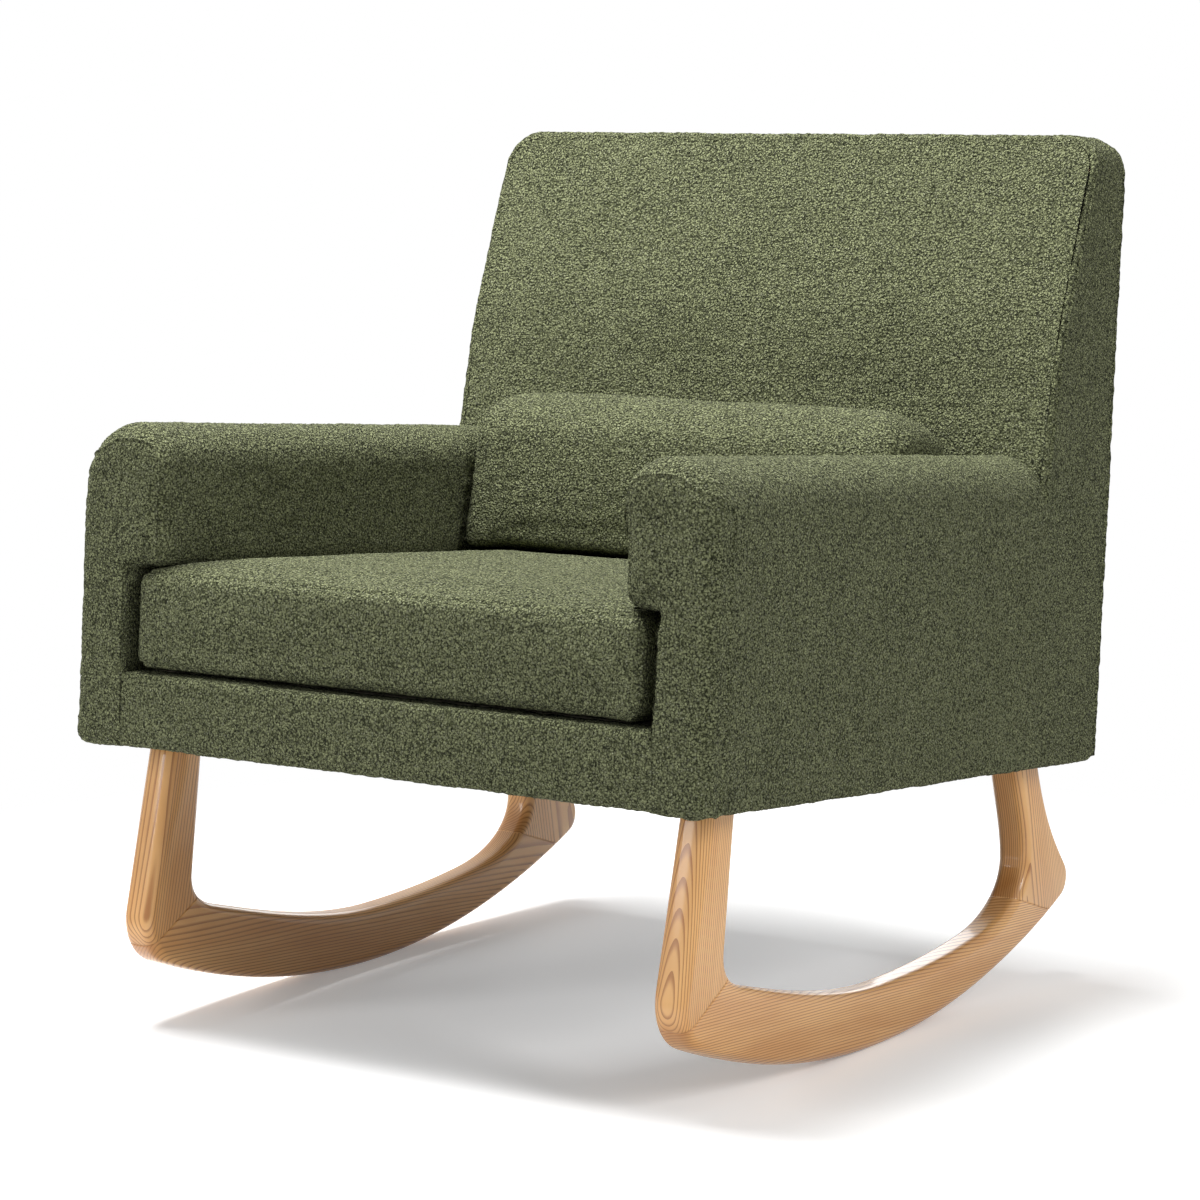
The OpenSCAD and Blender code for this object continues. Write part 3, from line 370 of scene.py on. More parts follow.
# Grain of a sawn board: growth rings round its x axis, fine pores, paler patches and dark end grain
grain, given, end = node_group("board_grain", {"End Grain": 0.0, "Pale": ash_pale, "Warm": ash_warm,
    "Line": ash_line, "Ring Scale": 112.0, "Pores": 0.55})
stretched = scaled(grain, given["Vector"], (0.12, 1, 1))
drift = clouds(grain, stretched, 14.0, 2.0, "Color")
rings = place(grain, "TexWave", {"wave_type": "RINGS", "rings_direction": "X", "wave_profile": "SAW"},
    Vector=shifted(grain, stretched, drift, (0, 0.014, 0.014)), Scale=given["Ring Scale"],
    Distortion=1.2, Detail=2.0, Detail_Scale=0.6)
late = between(grain, rings.outputs["Fac"], 0.50, 0.92)
pore = clouds(grain, scaled(grain, given["Vector"], (55, 1900, 1900)), 1.0, 1.0)
pore = math_of(grain, "MULTIPLY", between(grain, pore, 0.60, 0.72), late)
pore = math_of(grain, "MULTIPLY", pore, given["Pores"])
patch = clouds(grain, scaled(grain, given["Vector"], (5, 34, 34)), 1.0, 3.0)
end_grain = between(grain, given["End Grain"], 0.25, 0.85)
board = colour_mix(grain, between(grain, patch, 0.3, 0.7), given["Warm"], given["Pale"])
for share in (math_of(grain, "MULTIPLY", late, 0.80), math_of(grain, "MULTIPLY", end_grain, 0.55), pore):
    board = colour_mix(grain, share, board, given["Line"])
smooth = math_of(grain, "SUBTRACT", 1.0, pore)
smooth = math_of(grain, "SUBTRACT", smooth, math_of(grain, "MULTIPLY", late, 0.25))
give_out(grain, end, board, smooth, between(grain, patch, 0.0, 1.0))


def finish_of(name, group, values, rough, bump, board=False, **shader):
    """A material whose colour, gloss and relief come from a group, on the piece's own coordinates.

    For a board they are its places in the board and its end grain."""
    made = bpy.data.materials.new(name)
    made.use_nodes = True
    tree = made.node_tree
    shell = tree.nodes["Principled BSDF"]
    look = place(tree, "Group", {"node_tree": group})
    if board:
        here = place(tree, "Attribute", {"attribute_name": "in_board"})
        ends = place(tree, "Attribute", {"attribute_name": "end_grain"})
        tree.links.new(here.outputs["Vector"], look.inputs["Vector"])
        tree.links.new(ends.outputs["Fac"], look.inputs["End Grain"])
    else:
        here = place(tree, "TexCoord")
        tree.links.new(here.outputs["Object"], look.inputs["Vector"])
    for socket, value in values.items():
        look.inputs[socket].default_value = (*value, 1) if isinstance(value, tuple) else value
    tree.links.new(look.outputs["Color"], shell.inputs["Base Color"])
    spread = place(tree, "MapRange", Value=look.outputs["Roughness"], To_Min=rough[0], To_Max=rough[1])
    tree.links.new(spread.outputs[0], shell.inputs["Roughness"])
    relief = place(tree, "Bump", Height=look.outputs["Height"], Strength=bump[0], Distance=bump[1])
    tree.links.new(relief.outputs[0], shell.inputs["Normal"])
    for socket, value in shader.items():
        shell.inputs[socket.replace("_", " ")].default_value = value
    return made


ash = finish_of("lacquered_ash", grain, {}, (0.36, 0.5), (0.25, 0.0004), board=True, Coat_Weight=0.5,
    Coat_Roughness=0.1, Specular_IOR_Level=0.3)

# Each piece lies in its own board: a middle point of it in the side view, and for the left and
# right rocker the grain's direction there and how far behind and to the side the log's heart is
rocker_boards = {
    "front_leg": (front_leg_line, 58, (75, 110),
        {"left": ((0.236, 0.972), 70, 58), "right": ((0.150, 0.989), 66, 6)}),
    "runner": (runner_line, 130, (420, 30),
        {"left": ((0.998, -0.06), 70, 50), "right": ((0.998, -0.06), 90, 34)}),
    "rear_leg": (rear_leg_line, 80, (735, 160),
        {"left": ((-0.22, 0.975), 40, 66), "right": ((-0.22, 0.975), 44, 70)}),
}
mitre_chamfer, chamfer_step = 0.35, 0.006
for side_name, side in (("left", -1), ("right", 1)):
    for board_name, (line, steps, middle, lays) in rocker_boards.items():
        along, *heart = lays[side_name]
        rings_made = []
        for k, s in enumerate(np.linspace(0, 1, steps)):
            outer, inner = line(s)
            at_mitre = (k == 0 and board_name != "front_leg") or (
                k == steps - 1 and board_name != "rear_leg")
            rings_made.append(rocker_section(outer, inner, mitre_chamfer if at_mitre else 0))
            if at_mitre:
                beside = rocker_section(*line(s + (chamfer_step if k == 0 else -chamfer_step)), 0)
                rings_made.insert(len(rings_made) if k == 0 else -1, beside)
        x, y, z = np.array(rings_made).reshape(-1, 3).T
        points = np.stack([side * (rocker_x + x), y - middle_y, z], -1) / 1000
        faces = tube_faces(len(rings_made), len(rings_made[0]))
        if side > 0:
            faces = [face[::-1] for face in faces]
        x_axis = Vector((0, *along)).normalized()
        z_axis = Vector((side, 0, 0))
        y_axis = z_axis.cross(x_axis)
        origin = Vector((side * (rocker_x + heart[1]), middle[0] - middle_y, middle[1])) / 1000
        origin -= y_axis * heart[0] / 1000 * (1 if y_axis.y * side > 0 else -1)
        piece = made_piece(f"{side_name}_{board_name}_board", points, faces, ash)
        lay_in_board(piece, origin, x_axis, y_axis, z_axis)
        dress(piece, "chair", "ash_wood", f"{side_name}_{board_name}")

# ---- Dowels, plates, bolts and screws ----
# Beech dowels cross the mitres. Zinc-plated steel plates are screwed into the legs' tops, and
# bolts through them run up into T-nuts in the leg blocks, so the rockers unscrew for packing.

beech_pale, beech_warm, beech_line = (0.60, 0.42, 0.26), (0.52, 0.34, 0.20), (0.36, 0.21, 0.11)
zinc_bright, zinc_dull = (0.62, 0.63, 0.65), (0.40, 0.41, 0.43)

plating, given, end = node_group("plated_metal", {"Bright": zinc_bright, "Dull": zinc_dull, "Scale": 90.0})
spangle = clouds(plating, given["Vector"], given["Scale"], 4.0)
scratch = clouds(plating, given["Vector"], 900.0, 2.0)
plated = colour_mix(plating, between(plating, spangle, 0.35, 0.65), given["Dull"], given["Bright"])
give_out(plating, end, plated, scratch, spangle)

beech = finish_of("sawn_beech", grain, {"Pale": beech_pale, "Warm": beech_warm, "Line": beech_line,
    "Ring Scale": 90.0, "Pores": 0.3}, (0.62, 0.8), (0.4, 0.0005))
zinc = finish_of("zinc_plate", plating, {}, (0.28, 0.5), (0.1, 0.0002), Metallic=1.0)


def finish_nodes(material, *names):
    """Gives the carried-over nodes their finish."""
    for name in names:
        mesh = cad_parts[name].data
        mesh.materials.clear()
        mesh.materials.append(material)


finish_nodes(beech, "mitre_dowels")
finish_nodes(zinc, "leg_plates", "plate_bolts", "t_nuts", "plate_screws")

# ---- Seat frame, arm frames and back frame ----
# Planed beech rails, blocks, boards and posts, glued and screwed, with hardboard panels stapled
# over the arms. Sinuous wire springs hang from steel clips between the spring rails.

hardboard_pale, hardboard_dark = (0.26, 0.15, 0.08), (0.12, 0.06, 0.03)

finish_nodes(beech, "leg_blocks", "front_rail", "rear_rail", "left_side_rail", "right_side_rail",
    "front_spring_rail", "rear_spring_rail", "left_arm_front_board", "right_arm_front_board",
    "left_arm_rear_post", "right_arm_rear_post", "left_arm_top_rail", "right_arm_top_rail",
    "left_back_stile", "right_back_stile", "back_top_rail", "back_lower_rail")

pressed, given, end = node_group("pressed_fibre", {"Pale": hardboard_pale, "Dark": hardboard_dark})
fibre = clouds(pressed, given["Vector"], 420.0, 5.0)
blotch = clouds(pressed, given["Vector"], 22.0, 2.0)
felted = weighted(pressed, (fibre, 0.7), (blotch, 0.3))
fibres = colour_mix(pressed, between(pressed, felted, 0.35, 0.65), given["Dark"], given["Pale"])
give_out(pressed, end, fibres, felted, blotch)
hardboard = finish_of("hardboard", pressed, {}, (0.55, 0.8), (0.3, 0.0003))
finish_nodes(hardboard, "left_arm_outer_panel", "right_arm_outer_panel", "left_arm_inner_panel",
    "right_arm_inner_panel")

spring_steel = finish_of("spring_steel", plating, {"Bright": (0.42, 0.42, 0.43), "Dull": (0.22, 0.21, 0.21),
    "Scale": 160.0}, (0.3, 0.55), (0.1, 0.0002), Metallic=1.0)
finish_nodes(spring_steel, "seat_springs", "spring_clips")

# ---- Bouclé covers: the cloth ----
# A soft moss-green looped cloth over wadding. Its yarn stands in small uneven curls, so its
# surface and its outlines are nubbly. Painted shade darkens the grooves and hollows between the
# loops, and painted highlights lighten some nubs and the tops of the loops.

# The dark colour is painted shade in the grooves and hollows between the loops, and the light colour is
# painted highlight on nubs and loop tops.
boucle_painted_shade, boucle_mid, boucle_painted_highlight = (0.012, 0.015, 0.004), (0.212, 0.230, 0.116), (0.52, 0.545, 0.35)
nap_depth, nap_grain = 0.55, 3.0
sag_wide, sag_deep, wave_wide, wave_deep = 42, 0.5, 110, 0.7
hash_primes, hash_seed, hash_mix = np.array([374761393, 668265263, 2147483647]), 974634777, 1274126177

# The group's Light input is the painted highlight colour, and its Dark input the painted shade.
boucle, given, end = node_group("boucle", {"Dark": boucle_painted_shade, "Mid": boucle_mid, "Light": boucle_painted_highlight,
    "Loops": 430.0, "Nubs": 300.0})
sway = clouds(boucle, given["Vector"], 150.0, 2.0, "Color")
swayed = shifted(boucle, given["Vector"], sway, (0.003, 0.003, 0.003))
loops = place(boucle, "TexVoronoi", Vector=swayed, Scale=given["Loops"], Randomness=0.85).outputs
nubs = place(boucle, "TexVoronoi", Vector=swayed, Scale=given["Nubs"]).outputs
chance = place(boucle, "SeparateXYZ", Vector=nubs["Color"]).outputs["X"]
curls = clouds(boucle, given["Vector"], 900.0, 1.0)
drift = clouds(boucle, given["Vector"], 14.0, 2.0)
loop = between(boucle, loops["Distance"], 0.74, 0.30)
pebble = between(boucle, nubs["Distance"], 0.62, 0.10)
nub = between(boucle, nubs["Distance"], 0.44, 0.14)
nub = math_of(boucle, "MULTIPLY", nub, between(boucle, chance, 0.50, 0.80))
gap = between(boucle, clouds(boucle, swayed, 440.0, 2.0, Roughness=0.65), 0.45, 0.38)
shaded = weighted(boucle, (loop, 0.54), (curls, 0.42), (drift, 0.12))
# Painted highlight on some of the nubs and on the tops of the loops.
painted_highlight = weighted(boucle, (nub, 0.6), (between(boucle, shaded, 0.66, 1.02), 0.30))
# Painted shade: the yarn darkens towards the grooves between the loops, and its tone also varies at random
# with the curls and the drift.
yarn = colour_mix(boucle, between(boucle, shaded, 0.10, 0.66), given["Dark"], given["Mid"])
# Painted shade in the hollows between the loops.
yarn = colour_mix(boucle, math_of(boucle, "MULTIPLY", gap, 0.9), yarn, given["Dark"])
yarn = colour_mix(boucle, painted_highlight, yarn, given["Light"])
relief = weighted(boucle, (loop, 0.40), (pebble, 0.5), (nub, 0.7), (gap, -0.5))
give_out(boucle, end, yarn, relief, curls)

cover_cloth = finish_of("moss_boucle", boucle, {}, (0.85, 1.0), (1.0, 0.0046), Sheen_Weight=0.03,
    Sheen_Roughness=0.5, Specular_IOR_Level=0.12)


def in_body(points):
    """Points of the tipped body's own frame, in mm, as points of the row frame in metres."""
    p = np.asarray(points, float)
    c, s = math.cos(body_tilt), math.sin(body_tilt)
    return np.stack([p[..., 0], p[..., 1] * c + p[..., 2] * s - middle_y,
        p[..., 2] * c - p[..., 1] * s + floor_clearance], -1) / 1000


def unevenness(points, size, seed):
    """Smooth noise from -1 to 1 over points in mm, with hills of that size."""
    q = points / size
    cell = np.floor(q).astype(np.int64)
    f = q - cell
    f = f * f * (3 - 2 * f)
    total = np.zeros(len(q))
    for step in np.ndindex(2, 2, 2):
        c = cell + step
        h = (c @ hash_primes + seed * hash_seed) & 0x7FFFFFFF
        h = ((h ^ (h >> 13)) * hash_mix) & 0x7FFFFFFF
        h = (h ^ (h >> 16)) & 0xFFFFF
        total += np.prod(np.where(step, f, 1 - f), 1) * h / 0xFFFFF
    return 2 * total - 1


def move_points(mesh, points):
    mesh.vertices.foreach_set("co", points.ravel())
    mesh.update()


def raise_nap(piece, push):
    """Moves each point out along its normal by push, in mm, and by the cloth's own nubs."""
    at, out = points_of(piece.data)
    mm = at * 1000
    curls_up = 0.9 - 2.6 * np.abs(unevenness(mm, nap_grain, 1)) + 0.8 * unevenness(mm, 2 * nap_grain, 2)
    lift = nap_depth * curls_up
    lift += sag_deep * unevenness(mm, sag_wide, 3) + wave_deep * unevenness(mm, wave_wide, 4)
    lift += push
    move_points(piece.data, at + out * lift[:, None] / 1000)


@contextmanager
def opened(mesh):
    """Opens a mesh for bmesh steps, and puts what they make back."""
    shape = bmesh.new()
    shape.from_mesh(mesh)
    yield shape
    shape.to_mesh(mesh)
    shape.free()


def seam_push(distance, depth=1.4, swell=0.35):
    """How far cloth moves out near a seam, in mm: sunk at the stitches, full beside them."""
    d = np.abs(distance)
    sunk, beside = np.exp(-((d / 1.3) ** 2)), 1 - np.exp(-((d / 3) ** 2))
    return -depth * sunk + swell * beside * np.exp(-((d / 12) ** 2))


# ---- Arms ----
# Each arm is a padded box whose top overhangs the seat. One cloth panel goes over the top from the
# outside to the inside and on to the rear edge of the back, and a facing is sewn on at the front.

half_w, arm_top, pad_x, wall_x, pad_bottom = 384.0, 328.0, 276.0, 322.0, 184.0
outer_round, inner_round, lip_round, slot_round = 56.0, 42.0, 18.0, 8.0
body_d, side_end, foot_drop, foot_round, hem_round = 792.0, 783.4, 4.0, 18.0, 5.0
back_foot_y, lower_lean, upper_lean = 599.0, math.radians(8), math.radians(17)
bend_from, bend_to, bend_mid = 400.0, 500.0, 450.0
rear_round, corner_round, back_h = 20.0, 26.0, 670.0
edge_top, edge_side, edge_low, edge_rail, edge_foot = 30.0, 16.0, 6.0, 1.5, 12.0
seam_top, seam_inner, seam_side, seam_low, seam_rail, seam_outer = 33.0, 26.0, 14.0, 5.0, 1.0, -15.0
foot_h, beside_rail_h, inner_h = 14.0, 78.0, 262.0
cloth_pitch = 3.0
near_seam = [0, 0.7, 1.6, 3.0]
rear_turn, rear_steps, rear_stitch = 7.4, (5.5, 4.2, 3.0, 1.6, 0.7, 0), 1.6


def back_face(z):
    """How far back the back's front face is at height z."""
    z = np.asarray(z, float)
    bend = np.where(z < bend_from, 0, np.where(z > bend_to, z - bend_mid,
        np.clip(z - bend_from, 0, None) ** 2 / (2 * (bend_to - bend_from))))
    return back_foot_y + z * math.tan(lower_lean) + bend * (math.tan(upper_lean) - math.tan(lower_lean))


def arc(centre, radius, start, end):
    a = np.radians(np.linspace(start, end, 24))
    return np.stack([centre[0] + radius * np.cos(a), centre[1] + radius * np.sin(a)], -1)


def evenly(path, pitch, closed=False, other=None):
    """The path as points about a pitch apart, with their outward normals to the right of its run.

    Gives also the same places along another path with as many corners."""
    path = np.asarray(path, float)
    other = path if other is None else other
    if closed:
        path, other = np.vstack([path, path[:1]]), np.vstack([other, other[:1]])
    kept = np.r_[True, np.linalg.norm(np.diff(path, axis=0), axis=1) > 1e-6]
    path, other = path[kept], other[kept]
    run = np.r_[0, np.cumsum(np.linalg.norm(np.diff(path, axis=0), axis=1))]
    at = np.linspace(0, run[-1], max(2, int(round(run[-1] / pitch)) + 1))
    points = np.stack([np.interp(at, run, path[:, k]) for k in (0, 1)], -1)
    beside = np.stack([np.interp(at, run, other[:, k]) for k in (0, 1)], -1)
    tangent = np.gradient(points, axis=0)
    if closed:
        tangent[0] = tangent[-1] = points[1] - points[-2]
        points, tangent, beside = points[:-1], tangent[:-1], beside[:-1]
    tangent /= np.linalg.norm(tangent, axis=1)[:, None]
    return points, np.stack([tangent[:, 1], -tangent[:, 0]], -1), beside


def smoothed(values, width, closed=False):
    """Each value's mean with its neighbours over that width."""
    kernel = np.ones(width) / width
    padded = np.pad(values, width // 2, mode="wrap" if closed else "edge")
    return np.convolve(padded, kernel, mode="same")[width // 2:-(width // 2) or None][:len(values)]


# Upper outline of the right arm in x and z, from the outside over the top to the inner wall
arm_over_top = np.vstack([
    arc((half_w - outer_round, arm_top - outer_round), outer_round, 0, 90),
    arc((pad_x + inner_round, arm_top - inner_round), inner_round, 90, 180),
    arc((pad_x + lip_round, pad_bottom + lip_round), lip_round, 180, 270),
    arc((wall_x - slot_round, pad_bottom - slot_round), slot_round, 90, 0)])
facing_line = np.vstack([[[wall_x, -1], [wall_x + 14, -foot_drop], [half_w - foot_round, -foot_drop]],
    arc((half_w - foot_round, foot_round - foot_drop), foot_round, -90, 0), arm_over_top, [[wall_x, 4]]])
seam_line = np.vstack([[[wall_x, 0], [wall_x + 14, 0], [half_w - hem_round, 0]],
    arc((half_w - hem_round, hem_round), hem_round, -90, 0), arm_over_top, [[wall_x, 4]]])


def front_edge(points):
    """Radius of the front edge at outline points, and where on its profile the facing's seam is."""
    x, z = points[:, 0], points[:, 1]
    top = np.clip((z - 250) / 70, 0, 1) * np.clip((x - pad_x + 4) / 30, 0, 1)
    inner = (z > pad_bottom - 2) & (z < inner_h) & (x < wall_x)
    low = (x < wall_x + 2) & (z <= pad_bottom)
    beside_rail = low & (z < beside_rail_h)
    radius = np.where(inner, edge_top, np.where(beside_rail, edge_rail, np.where(low, edge_low, edge_side)))
    radius = np.where((z < foot_h) & (x > wall_x + 1), edge_foot, mix(radius, edge_top, top))
    seam = np.where((x > half_w - 3) | (z < 6), seam_outer, np.where(inner, seam_inner,
        np.where(beside_rail, seam_rail, np.where(low, seam_low, seam_side))))
    outside = (x > half_w - outer_round * 0.55) & (z > inner_h)
    up_outside = mix(seam_outer, seam_top, np.clip((z - 276) / 32, 0, 1))
    seam = np.where(outside, up_outside, mix(seam, seam_top, top))
    return smoothed(radius, 9), smoothed(smoothed(seam, 7), 5)


def over_front_edge(points, normals, radius, q):
    """Body points for profile places q: below 0 along the sides, then round the edge to the face."""
    a = np.clip(q / radius, 0, math.pi / 2)
    inset = radius * (1 - np.cos(a)) + np.clip(q - radius * math.pi / 2, 0, None)
    depth = radius * (1 - np.sin(a)) + np.clip(-q, 0, None)
    p = points - normals * inset[:, None]
    return np.stack([p[:, 0], depth, p[:, 1]], -1)


def rear_inset(y, radius=8.0):
    """How far an outline is drawn in towards the rounded rear edge."""
    return radius - np.sqrt(radius**2 - np.clip(y - body_d + radius, 0, radius) ** 2)


def rear_corners(points):
    """Rounds the lower and the upper rear corner of the body in its side view."""
    x, z = np.abs(points[..., 0]), points[..., 2].copy()
    outside = np.clip((x - half_w + 11) / 9, 0, 1)
    drop = mix(rear_inset(points[..., 1], rear_round), rear_inset(points[..., 1], corner_round), outside)
    points[..., 2] += drop * (np.clip(1 - z / 60, 0, 1) - np.clip(1 - (back_h - z) / 60, 0, 1))
    return points


# The cloth over an arm
hem_line = np.vstack([[[half_w - 32, 0], [half_w - hem_round - 1, 0]],
    arc((half_w - hem_round, hem_round), hem_round, -90, 0), arm_over_top, [[wall_x, 60]]])
outline, outward, _ = evenly(hem_line, cloth_pitch)
edge_radius, seam_at = front_edge(outline)
end_y = back_face(outline[:, 1]) + 5
main_rows = 190
arm_rows, arm_push = [], []
for step in near_seam + list(np.linspace(5.5, 45, 14)):
    arm_rows.append(over_front_edge(outline, outward, edge_radius, seam_at - step))
    arm_push.append(seam_push(np.full(len(outline), step)))
start_row = arm_rows[-1]
for t in np.linspace(0, 1, main_rows)[1:]:
    row = start_row.copy()
    row[:, 1] = mix(start_row[:, 1], end_y, t)
    arm_rows.append(row)
    arm_push.append(np.zeros(len(outline)))
arm_rows = np.array(arm_rows)
outer_count = int(np.argmax((outline[:, 1] > arm_top - outer_round + 12) & (outline[:, 0] > pad_x)))
rear_rows, rear_push = [arm_rows[-1][:outer_count]], [np.zeros(outer_count)]
for t in np.linspace(0, 1, 56)[1:]:
    row = rear_rows[0].copy()
    row[:, 1] = mix(row[:, 1], side_end - rear_turn, t)
    spread = np.clip((row[:, 1] - rear_rows[0][:, 1]) / 26, 0, 1)
    row[:, 0] = np.where(row[:, 2] > 200, mix(row[:, 0], half_w, spread), row[:, 0])
    rear_rows.append(row)
    rear_push.append(np.zeros(outer_count))
for step in rear_steps:
    row = rear_rows[-1].copy()
    row[:, 0] -= rear_inset(side_end - step) - rear_inset(row[:, 1])
    row[:, 1] = side_end - step
    rear_rows.append(row)
    rear_push.append(seam_push(np.full(outer_count, float(step)), rear_stitch))
rear_rows = np.array(rear_rows)

# The edge of this cloth that is turned under the arm, in front of the dust cover
turn_x, turn_y = np.meshgrid(np.linspace(wall_x - 0.5, half_w - 30.5, 10), np.linspace(13.5, 43.2, 9),
    indexing="ij")
turn_under = np.stack([turn_x, turn_y, np.where(turn_y > 43, 2.7, 0.25)], -1)

# The facing, filled in to a line up its middle
facing, facing_out, facing_rear = evenly(facing_line, cloth_pitch, closed=True, other=seam_line)
facing_radius, facing_seam = front_edge(facing)
foot = (facing[:, 1] < foot_h) & (facing[:, 0] > wall_x + 1)
facing_radius[foot], facing_seam[foot] = edge_foot, seam_outer
facing_radius, facing_seam = smoothed(facing_radius, 9, closed=True), smoothed(facing_seam, 5, closed=True)
spine = np.array([[353, 20], [353, 150], [344, 190], [332, 225], [328, 268]], float)
spine_fine = np.vstack([np.linspace(a, b, 40) for a, b in zip(spine, spine[1:])])
nearest = np.argmin(((facing[:, None] - spine_fine[None]) ** 2).sum(-1), 1)
peak = int(np.argmax(nearest))
nearest[:peak] = np.maximum.accumulate(nearest[:peak])
nearest[peak:] = np.minimum.accumulate(nearest[peak:])
middle_line = spine_fine[nearest]
face_start = facing_radius * math.pi / 2 + 1.5
facing_rows, facing_push = [], []
for step in near_seam:
    facing_rows.append(over_front_edge(facing, facing_out, facing_radius, facing_seam + step))
    facing_push.append(seam_push(np.full(len(facing), step)))
for t in np.linspace(0, 1, 12)[1:]:
    q = mix(facing_seam + near_seam[-1], face_start, t)
    facing_rows.append(over_front_edge(facing, facing_out, facing_radius, q))
    facing_push.append(seam_push(q - facing_seam))
rim = facing_rows[-1]
for t in np.linspace(0, 1, 14)[1:]:
    x, z = mix(rim[:, 0], middle_line[:, 0], t), mix(rim[:, 2], middle_line[:, 1], t)
    facing_rows.append(np.stack([x, rim[:, 1] * (1 - t), z], -1))
    facing_push.append(np.zeros(len(facing)))
facing_rows = np.array(facing_rows)
against_rail = (facing[:, 0] < wall_x + 2) & (facing[:, 1] < pad_bottom)
facing_push = np.array(facing_push) * np.where(against_rail, 0.15, 1)
inward = np.clip(facing_rows[..., 1] / 15, 0, 1)[..., None] ** 2
facing_rows[..., ::2] += (facing_rear - facing)[None] * inward


def cover_of(name, patches, side, turned=False):
    """One cover from patches of rows of body points with their push, drawn for the right side."""
    points, faces, push = [], [], []
    for rows, row_push, ring in patches:
        faces += grid_faces(rows.shape[0], rows.shape[1], ring=ring, start=sum(len(p) for p in points))
        points.append(rows.reshape(-1, 3) * [side, 1, 1])
        push.append(np.asarray(row_push).ravel())
    if (side < 0) != turned:
        faces = [face[::-1] for face in faces]
    made = made_piece(name, in_body(np.vstack(points)), faces, cover_cloth)
    with opened(made.data) as shape:
        mark = shape.verts.layers.float.new("push")
        for vertex, value in zip(shape.verts, np.concatenate(push)):
            vertex[mark] = value
        bmesh.ops.remove_doubles(shape, verts=shape.verts, dist=0.0001)
        kept = np.array([vertex[mark] for vertex in shape.verts])
        shape.verts.layers.float.remove(mark)
    raise_nap(made, kept)
    return made


for side_name, side in (("left", -1), ("right", 1)):
    cover = cover_of(f"{side_name}_arm_cloth", [(rear_corners(arm_rows.copy()), arm_push, False),
        (rear_corners(rear_rows.copy()), rear_push, False),
        (turn_under, np.zeros(turn_x.shape), False)], side)
    dress(cover, "chair", "cover_fabric", f"{side_name}_arm_cover", f"{side_name}_arm_padding", fill=0.9)
    front = cover_of(f"{side_name}_arm_facing", [(facing_rows, facing_push, True)], side, turned=True)
    dress(front, "chair", "cover_fabric", f"{side_name}_arm_front_panel", fill=0.9)

# ---- Back ----
# The back's one cloth panel goes over the front, with bands round the sides and the top that are
# sewn to it along a fine raised seam. It lies over foam on the stiles, rails and webbing.

back_corner, back_edge, back_foot = 38.0, 7.0, 8.0
back_pitch, back_columns, corner_steps = 3.5, 221, 17
back_crown, crown_from, crown_to = 4.0, 385.0, 500.0
seam_turn, in_under_arm = math.radians(38), 3.0


def back_rows(inset, foot):
    """Heights and half widths of the back's outline, drawn in by inset, from its foot to its top."""
    straight = back_h - back_corner
    count = int(straight / back_pitch)
    a = np.radians(np.linspace(0, 90, corner_steps))
    z = np.r_[mix(foot, straight, np.arange(count) / count), straight + (back_corner - inset) * np.sin(a)]
    w = np.r_[np.full(count, half_w - inset), half_w - back_corner + (back_corner - inset) * np.cos(a)]
    return z, w


def back_panel(inset, foot):
    """Grid over the back's outline, as x and z."""
    z, w = back_rows(inset, foot)
    return w[:, None] * np.linspace(-1, 1, back_columns)[None], np.repeat(z[:, None], back_columns, 1)


def back_border(inset, foot, closed=False):
    """The outline as x and z, up the left, over the top and down the right, and along the foot."""
    z, w = back_rows(inset, foot)
    u = np.linspace(-1, 1, back_columns)[1:-1]
    x = np.r_[-w, w[-1] * u, w[::-1]]
    z = np.r_[z, np.full(len(u), z[-1]), z[::-1]]
    if closed:
        x, z = np.r_[x, w[0] * u[::-1]], np.r_[z, np.full(len(u), z[0])]
    return x, z


def back_hump(x, z):
    """How far the filling pushes out the middle of the back above the pillow, in mm."""
    rise = np.clip((z - crown_from) / (crown_to - crown_from), 0, 1)
    fall = np.clip((back_h - z) / 90, 0, 1)
    side = np.clip((half_w - np.abs(x)) / 170, 0, 1)
    return back_crown * rise**2 * (3 - 2 * rise) * np.sqrt(fall * (2 - fall)) * np.sqrt(side * (2 - side))


x, z = back_panel(back_edge + 1, back_foot)
face = np.stack([x, back_face(z) - back_hump(x, z), z], -1)
back_bands, band_push = [], []
edge_turn = np.radians(np.linspace(90, 0, 10))
for inset, depth in [(back_edge + 1, 0)] + [(back_edge * (1 - math.cos(a)), back_edge * (1 - math.sin(a)))
        for a in edge_turn]:
    x, z = back_border(inset, back_foot)
    back_bands.append(np.stack([x, back_face(z) + depth, z], -1))
    turn = math.acos(max(0, 1 - inset / back_edge)) - seam_turn
    along = back_edge * turn if inset < back_edge else 5
    ridge, hollow = math.exp(-((along / 1.2) ** 2)), math.exp(-((abs(along) - 3) / 1.2) ** 2)
    band_push.append(np.full(len(x), 0.9 * ridge - 0.7 * hollow))
x, z = back_border(0, back_foot)
near_y = back_face(z) + back_edge
for t in np.linspace(0, 1, 48)[1:]:
    y = mix(near_y, side_end - rear_turn, t)
    back_bands.append(np.stack([x, y, z], -1))
    band_push.append(np.zeros(len(x)))
for step in rear_steps:
    x, z = back_border(rear_inset(side_end - step), back_foot)
    back_bands.append(np.stack([x, np.full(len(x), side_end - step), z], -1))
    band_push.append(seam_push(np.full(len(x), float(step)), rear_stitch))
back_bands = np.array(back_bands)
under_arm = np.clip((280 - back_bands[..., 2]) / 10, 0, 1)
back_bands[..., 0] -= np.sign(back_bands[..., 0]) * in_under_arm * under_arm
back_cloth = cover_of("back_cloth", [(face, np.zeros(face.shape[:2]), False),
    (rear_corners(back_bands)[:, ::-1], np.array(band_push)[:, ::-1], False)], 1)
dress(back_cloth, "chair", "cover_fabric", "back_cover", "back_padding", fill=0.9)

# ---- Outside back ----
# A taut panel of the same cloth closes the back from behind, sewn blind to the side bands and
# stapled under the rear rail.

